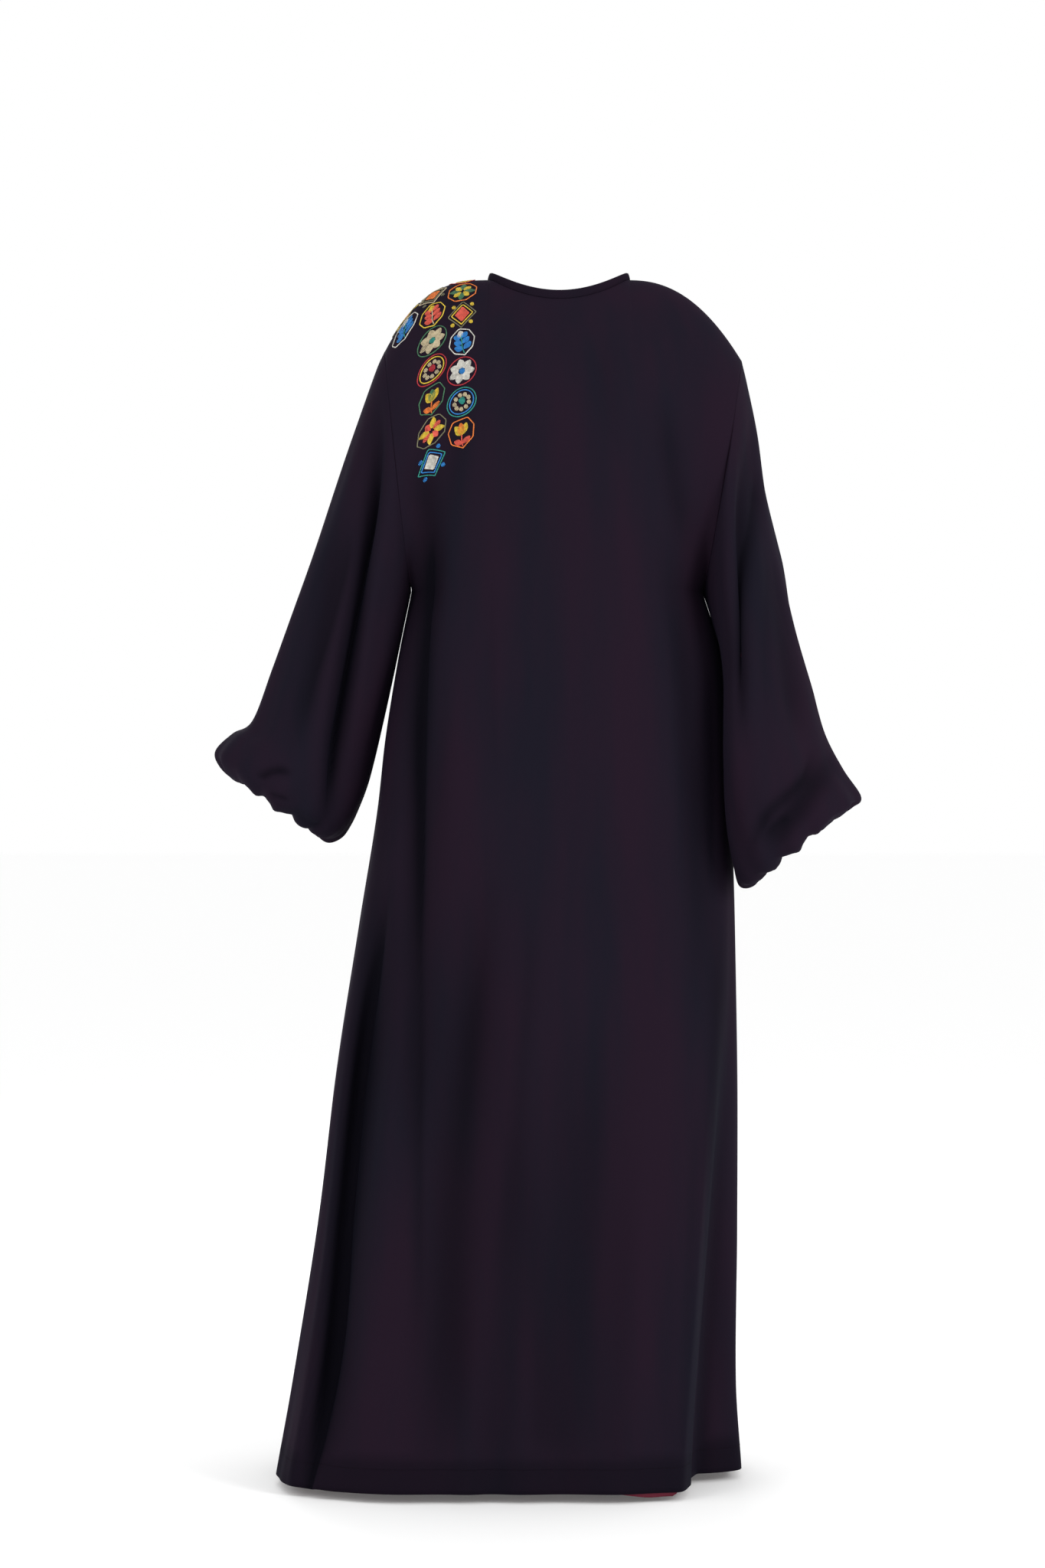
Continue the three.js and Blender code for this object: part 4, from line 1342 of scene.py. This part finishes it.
@dataclass
class MotifDrawer:
    """Draws the motifs as threads."""

    stitch: float = 2.9  # length of a running stitch
    satin: float = 1.12  # distance between satin stitches
    outline: float = 1.45  # width of the thread of a line
    slant: float = 0.18  # how far a satin stitch leads for its length
    least: float = 0.35  # half the length of the shortest satin stitch

    def line(self, points: Sequence[tuple[float, float]], thread: Thread, closed: bool = True) -> list[Stroke]:
        """Running stitches along a line.

        Args:
            points: The line.
            thread: The thread.
            closed: Whether the line closes.

        Returns:
            Its stitches.
        """
        p = np.array(points + ([points[0]] if closed else []), float)
        run = run_along(p)
        count = max(2, round(run[-1] / self.stitch))
        q = read_line(np.linspace(0, run[-1], count + 1), run, p)
        return [Stroke(tuple(a), tuple(b), thread, self.outline) for a, b in zip(q[:-1], q[1:])]

    def petal(self, base: tuple[float, float], angle: float, length: float, width: float, thread: Thread,
              point: float = 0.0) -> list[Stroke]:
        """A petal or leaf filled with satin stitch.

        Args:
            base: Its foot.
            angle: The way it grows.
            length: Its length.
            width: Its width.
            thread: The thread.
            point: How pointed its end is, from 0 to 1.

        Returns:
            Its stitches.
        """
        strokes = []
        ca, sa = math.cos(angle), math.sin(angle)
        for s in np.arange(0.5 * self.satin, length, self.satin):
            t = s / length
            half = 0.5 * width * math.sin(math.pi * t ** (0.75 + 0.2 * point)) ** (0.75 + 0.45 * point)
            if half < self.least:
                continue
            ends = ((s + self.slant * y, y) for y in (half, -half))
            start, end = ((base[0] + ca * x - sa * y, base[1] + sa * x + ca * y) for x, y in ends)
            strokes.append(Stroke(start, end, thread))
        return strokes

    def petals(self, count: int, at: float, turn: float, length: float, width: float,
               thread: Thread) -> list[Stroke]:
        """Petals all round a motif's middle.

        Args:
            count: How many.
            at: How far from the middle each starts.
            turn: The angle of the first.
            length: Their length.
            width: Their width.
            thread: Their thread.

        Returns:
            Their stitches.
        """
        out: list[Stroke] = []
        for i in range(count):
            a = math.tau * i / count + turn
            out += self.petal((at * math.cos(a), at * math.sin(a)), a, length, width, thread)
        return out

    def draw(self, motif: Motif, first: Thread, second: Thread, third: Thread) -> list[Stroke]:
        """Draws a motif about 36 mm across.

        Args:
            motif: Which motif.
            first: The main thread.
            second: The thread of its line.
            third: The thread of its middle.

        Returns:
            Its stitches.
        """
        out: list[Stroke] = []
        if motif is Motif.DAISY:
            out += self.petals(7, 4.0, 0.3, 11.2, 9.2, first)
            out += self.line(ring(17.4), second)
            out += self.petal((-3.6, 0), 0, 7.2, 7.2, third)
        elif motif is Motif.LEAF:
            for i, (y, s) in enumerate(((-11, 1), (-11, -1), (-3, 1), (-3, -1), (5, 1), (5, -1))):
                out += self.petal((0.6 * s, y), math.pi / 2 - s * 0.95, 12 - 1.2 * (i // 2), 7.0, first, 0.8)
            out += self.petal((0, 6), math.pi / 2, 9.5, 7.0, third, 0.8)
            out += self.line([(0, -16), (1.2, -8), (0, 0), (-0.4, 8)], second, False)
            out += self.line([(0, -19), (11, -12), (15.5, 0), (11, 12),
                              (0, 18.5), (-11, 12), (-15.5, 0), (-11, -12)], third)
        elif motif is Motif.DIAMOND:
            out += self.line([(0, -19), (17, 0), (0, 19), (-17, 0)], second)
            out += self.line([(0, -14.6), (13, 0), (0, 14.6), (-13, 0)], first)
            for s in np.arange(-9.5, 9.6, self.satin):
                half = 8.6 * (1 - abs(s) / 11)
                out.append(Stroke((-half, s), (half, s + 0.5), third))
            for cx, cy in ((11, 13), (-11, 13), (11, -13), (-11, -13)):
                out += self.petal((cx - 2.4, cy), 0, 4.8, 4.8, first)
        elif motif is Motif.STAR:
            for i in range(8):
                a = math.tau * i / 8
                length, thread = (14, first) if i % 2 == 0 else (11, third)
                out += self.petal((2.2 * math.cos(a), 2.2 * math.sin(a)), a, length, 6.8, thread, 1.0)
            out += self.line(ring(18, 8, math.tau / 16), second)
        elif motif is Motif.TULIP:
            for a, w in ((math.pi / 2, 7.5), (math.pi / 2 - 0.5, 6.4), (math.pi / 2 + 0.5, 6.4)):
                out += self.petal((0, -2), a, 15, w + 1.6, first if a == math.pi / 2 else third, 0.5)
            out += self.line([(0, -2), (0.5, -9), (0, -16)], second, False)
            out += self.petal((0, -13), math.pi / 2 - 1.0, 12, 6, second, 0.9)
            out += self.petal((0, -13), math.pi / 2 + 1.0, 12, 6, second, 0.9)
            out += self.line([(0, -18.5), (13, -9), (15.5, 6), (9, 17), (-9, 17), (-15.5, 6), (-13, -9)], first)
        else:
            out += self.line(ring(17.4), first)
            out += self.line(ring(14.4), second)
            for x, y in ring(8.8, 9):
                out += self.petal((x - 2.4, y), 0, 4.8, 5, third)
            out += self.petal((-4, 0), 0.4, 8, 8, first)
        return out


@dataclass
class Embroidery:
    """The embroidered shoulder: motifs in a half drop on the left back and over the seam onto the front."""

    drawer: MotifDrawer = field(default_factory=MotifDrawer)
    pitch_down: float = 38.5
    tilt: float = 0.22  # the most that a motif is turned
    lift: float = 0.15  # how far its threads lie off the cloth
    # for each column from the neck out: millimetres out, the first and the last motif's place down the back
    columns: tuple[tuple[float, float, float], ...] = ((32, -74, 236), (68, -112, 270), (101, -35, 60))
    palette: tuple[tuple[Thread, Thread, Thread], ...] = (
        (Thread.CORAL, Thread.CREAM, Thread.YELLOW), (Thread.TEAL, Thread.BLUE, Thread.CREAM),
        (Thread.YELLOW, Thread.KHAKI, Thread.CORAL), (Thread.CREAM, Thread.GREEN, Thread.TEAL),
        (Thread.ORANGE, Thread.CORAL, Thread.YELLOW), (Thread.BLUE, Thread.TEAL, Thread.WHITE),
        (Thread.RED, Thread.YELLOW, Thread.CREAM), (Thread.KHAKI, Thread.CREAM, Thread.ORANGE),
        (Thread.WHITE, Thread.RED, Thread.BLUE), (Thread.GREEN, Thread.ORANGE, Thread.YELLOW))

    def build(self, chart: Chart, wardrobe: Wardrobe) -> bpy.types.Object:
        """Embroiders the shoulder.

        Args:
            chart: Lays the drawing on the cloth.
            wardrobe: Where the threads come from.

        Returns:
            The embroidery.
        """
        strokes: list[tuple[float, float, float, float, Thread, float]] = []
        motifs, count = list(Motif), 0
        for i, (out, first, last) in enumerate(self.columns):
            down = first + (self.pitch_down / 2 if i % 2 else 0)
            while down <= last:
                motif = motifs[(count * 5 + 2 * i) % len(motifs)]
                threads = self.palette[(count * 3 + i) % len(self.palette)]
                tilt = self.tilt * math.sin(2.3 * count + i)
                c, s = math.cos(tilt), math.sin(tilt)
                for k in self.drawer.draw(motif, *threads):
                    (ax, ay), (bx, by) = k.start, k.end
                    strokes.append((out + c * ax - s * ay, down - s * ax - c * ay,
                                    out + c * bx - s * by, down - s * bx - c * by, k.thread, k.thick))
                count += 1
                down += self.pitch_down
        a = np.array([s[:4] for s in strokes], float)
        start, out_a, on_a = chart.lay(a[:, 0], a[:, 1])
        end, out_b, on_b = chart.lay(a[:, 2], a[:, 3])
        keep = np.flatnonzero(on_a & on_b)
        strokes = [strokes[i] for i in keep]
        start, end, out = start[keep], end[keep], (out_a + out_b)[keep]
        out /= np.linalg.norm(out, axis=1, keepdims=True)
        stitch = Stitch()
        thick = np.array([s[5] for s in strokes])
        points, faces = stitch.along(start + out * self.lift, end + out * self.lift, out, thick)
        threads = list(Thread)
        piece = mesh_object("shoulder_embroidery", points, faces, [wardrobe.of(t.value) for t in threads])
        slots = np.repeat([threads.index(s[4]) for s in strokes], len(stitch.faces)).astype(np.int32)
        piece.data.polygons.foreach_set("material_index", slots)
        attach(piece, "root")
        LOG.info("shoulder_embroidery: %d motifs, %d stitches", count, len(strokes))
        return piece


@dataclass
class Stitching:
    """Rows of small dark stitches along the panels' hems and the edge of the upper front."""

    hem_up: float = 24  # height of the row above the hem
    length: float = 3.4
    gap: float = 1.1
    thick: float = 0.4
    start: float = 1.5  # how far from its row's end the first stitch begins
    lift: float = 0.05  # how far they lie off the cloth
    edge: int = 3  # columns from the front edge to its row

    def row(self, line: Grid, out: Grid) -> tuple[Grid, Grid, Grid]:
        """Stitches along a line on the cloth.

        Args:
            line: Points along it.
            out: The way out of the cloth at each.

        Returns:
            The stitches' starts and ends and the way out at each.
        """
        run = run_along(line)
        at = np.arange(self.start, run[-1] - self.length, self.length + self.gap)
        return (read_line(at, run, line), read_line(at + self.length, run, line),
                read_line(at + self.length / 2, run, out))

    def build(self, body: dict[str, ClothSheet], wardrobe: Wardrobe) -> None:
        """Sews the hems and the edge of the upper front.

        Args:
            body: The robe's panels.
            wardrobe: Where the thread comes from.
        """
        parts = []
        for sheet in body.values():
            n = normals(sheet.outer, False)
            rise = sheet.outer[:, :, 2] - sheet.outer[:1, :, 2]
            i = int(np.searchsorted(rise[:, 0], self.hem_up))
            parts.append(self.row(sheet.outer[i] + n[i] * self.lift, n[i]))
        right = body["front_right_shell"].outer
        n = normals(right, False)[:, -self.edge]
        parts.append(self.row(right[:, -self.edge] + n * self.lift, n))
        start, end, out = (np.concatenate([p[k] for p in parts]) for k in range(3))
        points, faces = Stitch().along(start, end, out, np.full(len(start), self.thick))
        finish = ThreadFinish("thread_navy", (0.008, 0.0045, 0.009), 0.8, 0.05)
        piece = mesh_object("hem_stitching", points, faces, [wardrobe.of(finish)])
        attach(piece, "root")
        LOG.info("hem_stitching: %d stitches", len(start))


@dataclass
class Studio:
    """A pale floor, soft light and the camera, square on to the back of the robe."""

    floor: float = -1.4495  # just below the hem
    distance: float = 4.5
    aim: tuple[float, float] = (0.0444, -0.606)  # x and z of the picture's middle
    view_height: float = 1.912  # height of what the picture shows at the robe
    sensor: float = 36  # height of the camera's sensor, in millimetres
    sky: float = 1.0
    pale: float = 0.88
    glow: float = 0.1

    def lamp(self, name: str, place: tuple[float, float, float], at: tuple[float, float, float], size: float,
             power: float) -> None:
        """Adds a soft square light.

        Args:
            name: Its name.
            place: Where it is.
            at: What it points at.
            size: Its side.
            power: Its power in watts.
        """
        data = bpy.data.lights.new(name, "AREA")
        data.shape, data.size, data.energy = "SQUARE", size, power
        lamp = bpy.data.objects.new(name, data)
        way = np.array(at) - np.array(place)
        lamp.location = place
        flat = math.hypot(way[0], way[1])
        lamp.rotation_euler = (math.atan2(flat, -way[2]), 0, math.atan2(way[0], -way[1]) + math.pi)
        bpy.context.collection.objects.link(lamp)

    def build(self) -> None:
        """Makes the studio."""
        scene = bpy.context.scene
        scene.view_settings.view_transform = "Standard"
        world = bpy.data.worlds.new("studio")
        scene.world = world
        world.use_nodes = True
        world.node_tree.nodes["Background"].inputs["Color"].default_value = (1, 1, 1, 1)
        world.node_tree.nodes["Background"].inputs["Strength"].default_value = self.sky
        bpy.ops.object.select_all(action="DESELECT")
        bpy.ops.mesh.primitive_plane_add(size=80, location=(0, 0, self.floor))
        floor = bpy.context.object
        floor.name = "floor"
        m = bpy.data.materials.new("pale_floor")
        m.use_nodes = True
        shader = m.node_tree.nodes["Principled BSDF"]
        shader.inputs["Base Color"].default_value = (self.pale, self.pale, self.pale, 1)
        shader.inputs["Emission Color"].default_value = (1, 1, 1, 1)
        shader.inputs["Emission Strength"].default_value = self.glow
        shader.inputs["Roughness"].default_value = 0.9
        shader.inputs["Specular IOR Level"].default_value = 0.1
        floor.data.materials.append(m)
        self.lamp("key", (-3.2, 2.9, 1.1), (0, 0, -0.75), 1.4, 78)
        self.lamp("fill", (2.8, 3.2, 0.6), (0, 0, -0.7), 1.6, 30)
        self.lamp("front", (0.8, -4.4, 1.2), (0, 0, -0.65), 2.4, 60)
        eye = bpy.data.cameras.new("camera")
        eye.sensor_fit, eye.sensor_height = "VERTICAL", self.sensor
        eye.lens = self.sensor * self.distance / self.view_height
        camera = bpy.data.objects.new("camera", eye)
        camera.location = (self.aim[0], self.distance, self.aim[1])
        camera.rotation_euler = (math.pi / 2, 0, math.pi)
        bpy.context.collection.objects.link(camera)
        scene.camera = camera


LEFT_CREASES = (
    Crease("long back fold", Face.BACK, ((209, -105), (279, -668)), 24, 12, 0.35, 0, 0.35, 0.25, 0.7),
    Crease("its sharp line", Face.BACK,
           ((222, -207), (229, -287), (241, -394), (254, -501), (270, -608), (277, -656)),
           8, 5, 0.8, 0, 0.25, 0.15, 2.4),
    Crease("outer back fold", Face.BACK, ((258, -265), (322, -575)), 8, 15),
    Crease("outer soft line", Face.BACK, ((250, -280), (262, -350), (278, -420), (294, -470), (310, -525)),
           4, 7, 0.6, 0, 0.3, 0.4, 1.8),
    Crease("upper cuff crease", Face.BACK, ((366, -602), (350, -592), (334, -590), (318, -598)),
           6, 5, 0.6, 0, 0.2, 0.4, 2.4),
    Crease("lower cuff crease", Face.BACK, ((352, -617), (338, -621), (322, -629)),
           4, 4, 0.6, 0, 0.3, 0.4, 2.4),
    Crease("underside crease", Face.BACK, ((322, -640), (300, -655), (279, -660)),
           4, 6, 0.4, 0, 0.3, 0.3, 2.4),
    Crease("long front fold", Face.FRONT, ((214, -130), (292, -655)), 20, 14, 0.3),
    Crease("front sharp line", Face.FRONT, ((240, -260), (262, -420), (284, -600)),
           5, 7, 0.7, 0, 0.3, 0.2, 1.8),
    Crease("outer front fold", Face.FRONT, ((262, -300), (345, -580)), 9, 15),
    Crease("front cuff crease", Face.FRONT, ((362, -606), (346, -598), (326, -604)),
           5, 5, 0.5, 0, 0.3, 0.4, 2.2),
)
RIGHT_CREASES = (
    Crease("inner back fold", Face.BACK, ((-233, -140), (-205, -560)), 15, 13, 0.2, 0, 0.35, 0.25, 0.9),
    Crease("its sharp line", Face.BACK,
           ((-244, -208), (-240, -272), (-229, -326), (-216, -380), (-208, -434), (-202, -490)),
           6, 6, 0.8, 0, 0.2, 0.2, 2.4),
    Crease("drape to the cuff", Face.BACK, ((-338, -560), (-240, -690)), 10, 13),
    Crease("curved drape", Face.BACK,
           ((-303, -556), (-295, -592), (-271, -618), (-245, -640), (-229, -668), (-222, -690)),
           8, 8, 0.5, 0, 0.3, 0.3, 1.8),
    Crease("short drape", Face.BACK, ((-279, -644), (-260, -651), (-247, -664), (-236, -680)),
           4, 6, 0.5, 0, 0.3, 0.4, 2.0),
    Crease("outer back fold", Face.BACK, ((-256, -300), (-284, -560)), 6, 16),
    Crease("outer soft line", Face.BACK, ((-243, -240), (-247, -367), (-243, -494), (-245, -584)),
           2.5, 9, 0.4, 0, 0.4, 0.4, 1.6),
    Crease("long front fold", Face.FRONT, ((-228, -150), (-250, -640)), 18, 14, 0.3),
    Crease("front sharp line", Face.FRONT, ((-240, -250), (-246, -420), (-252, -590)),
           5, 7, 0.7, 0, 0.3, 0.2, 1.8),
    Crease("outer front fold", Face.FRONT, ((-268, -330), (-318, -600)), 8, 15),
    Crease("front drape", Face.FRONT, ((-318, -580), (-290, -620), (-256, -660)),
           6, 9, 0.4, 0, 0.3, 0.3, 1.8),
)


def main() -> None:
    """Builds the robe and the studio."""
    logging.basicConfig(level=logging.INFO, format="%(name)s: %(message)s")
    wardrobe = Wardrobe()
    form = RobeForm()
    body = Body(form).build(wardrobe)
    Sleeve(SleeveForm(Side.LEFT, LEFT_SLEEVE, LEFT_CREASES)).build(wardrobe)
    Sleeve(SleeveForm(Side.RIGHT, RIGHT_SLEEVE, RIGHT_CREASES)).build(wardrobe)
    NeckBand().build(body, form, wardrobe)
    HemLining().build(body["back_shell"], wardrobe)
    Embroidery().build(Chart(body["back_shell"], body["front_left_shell"], form), wardrobe)
    Stitching().build(body, wardrobe)
    Studio().build()


if __name__ == "__main__":
    main()
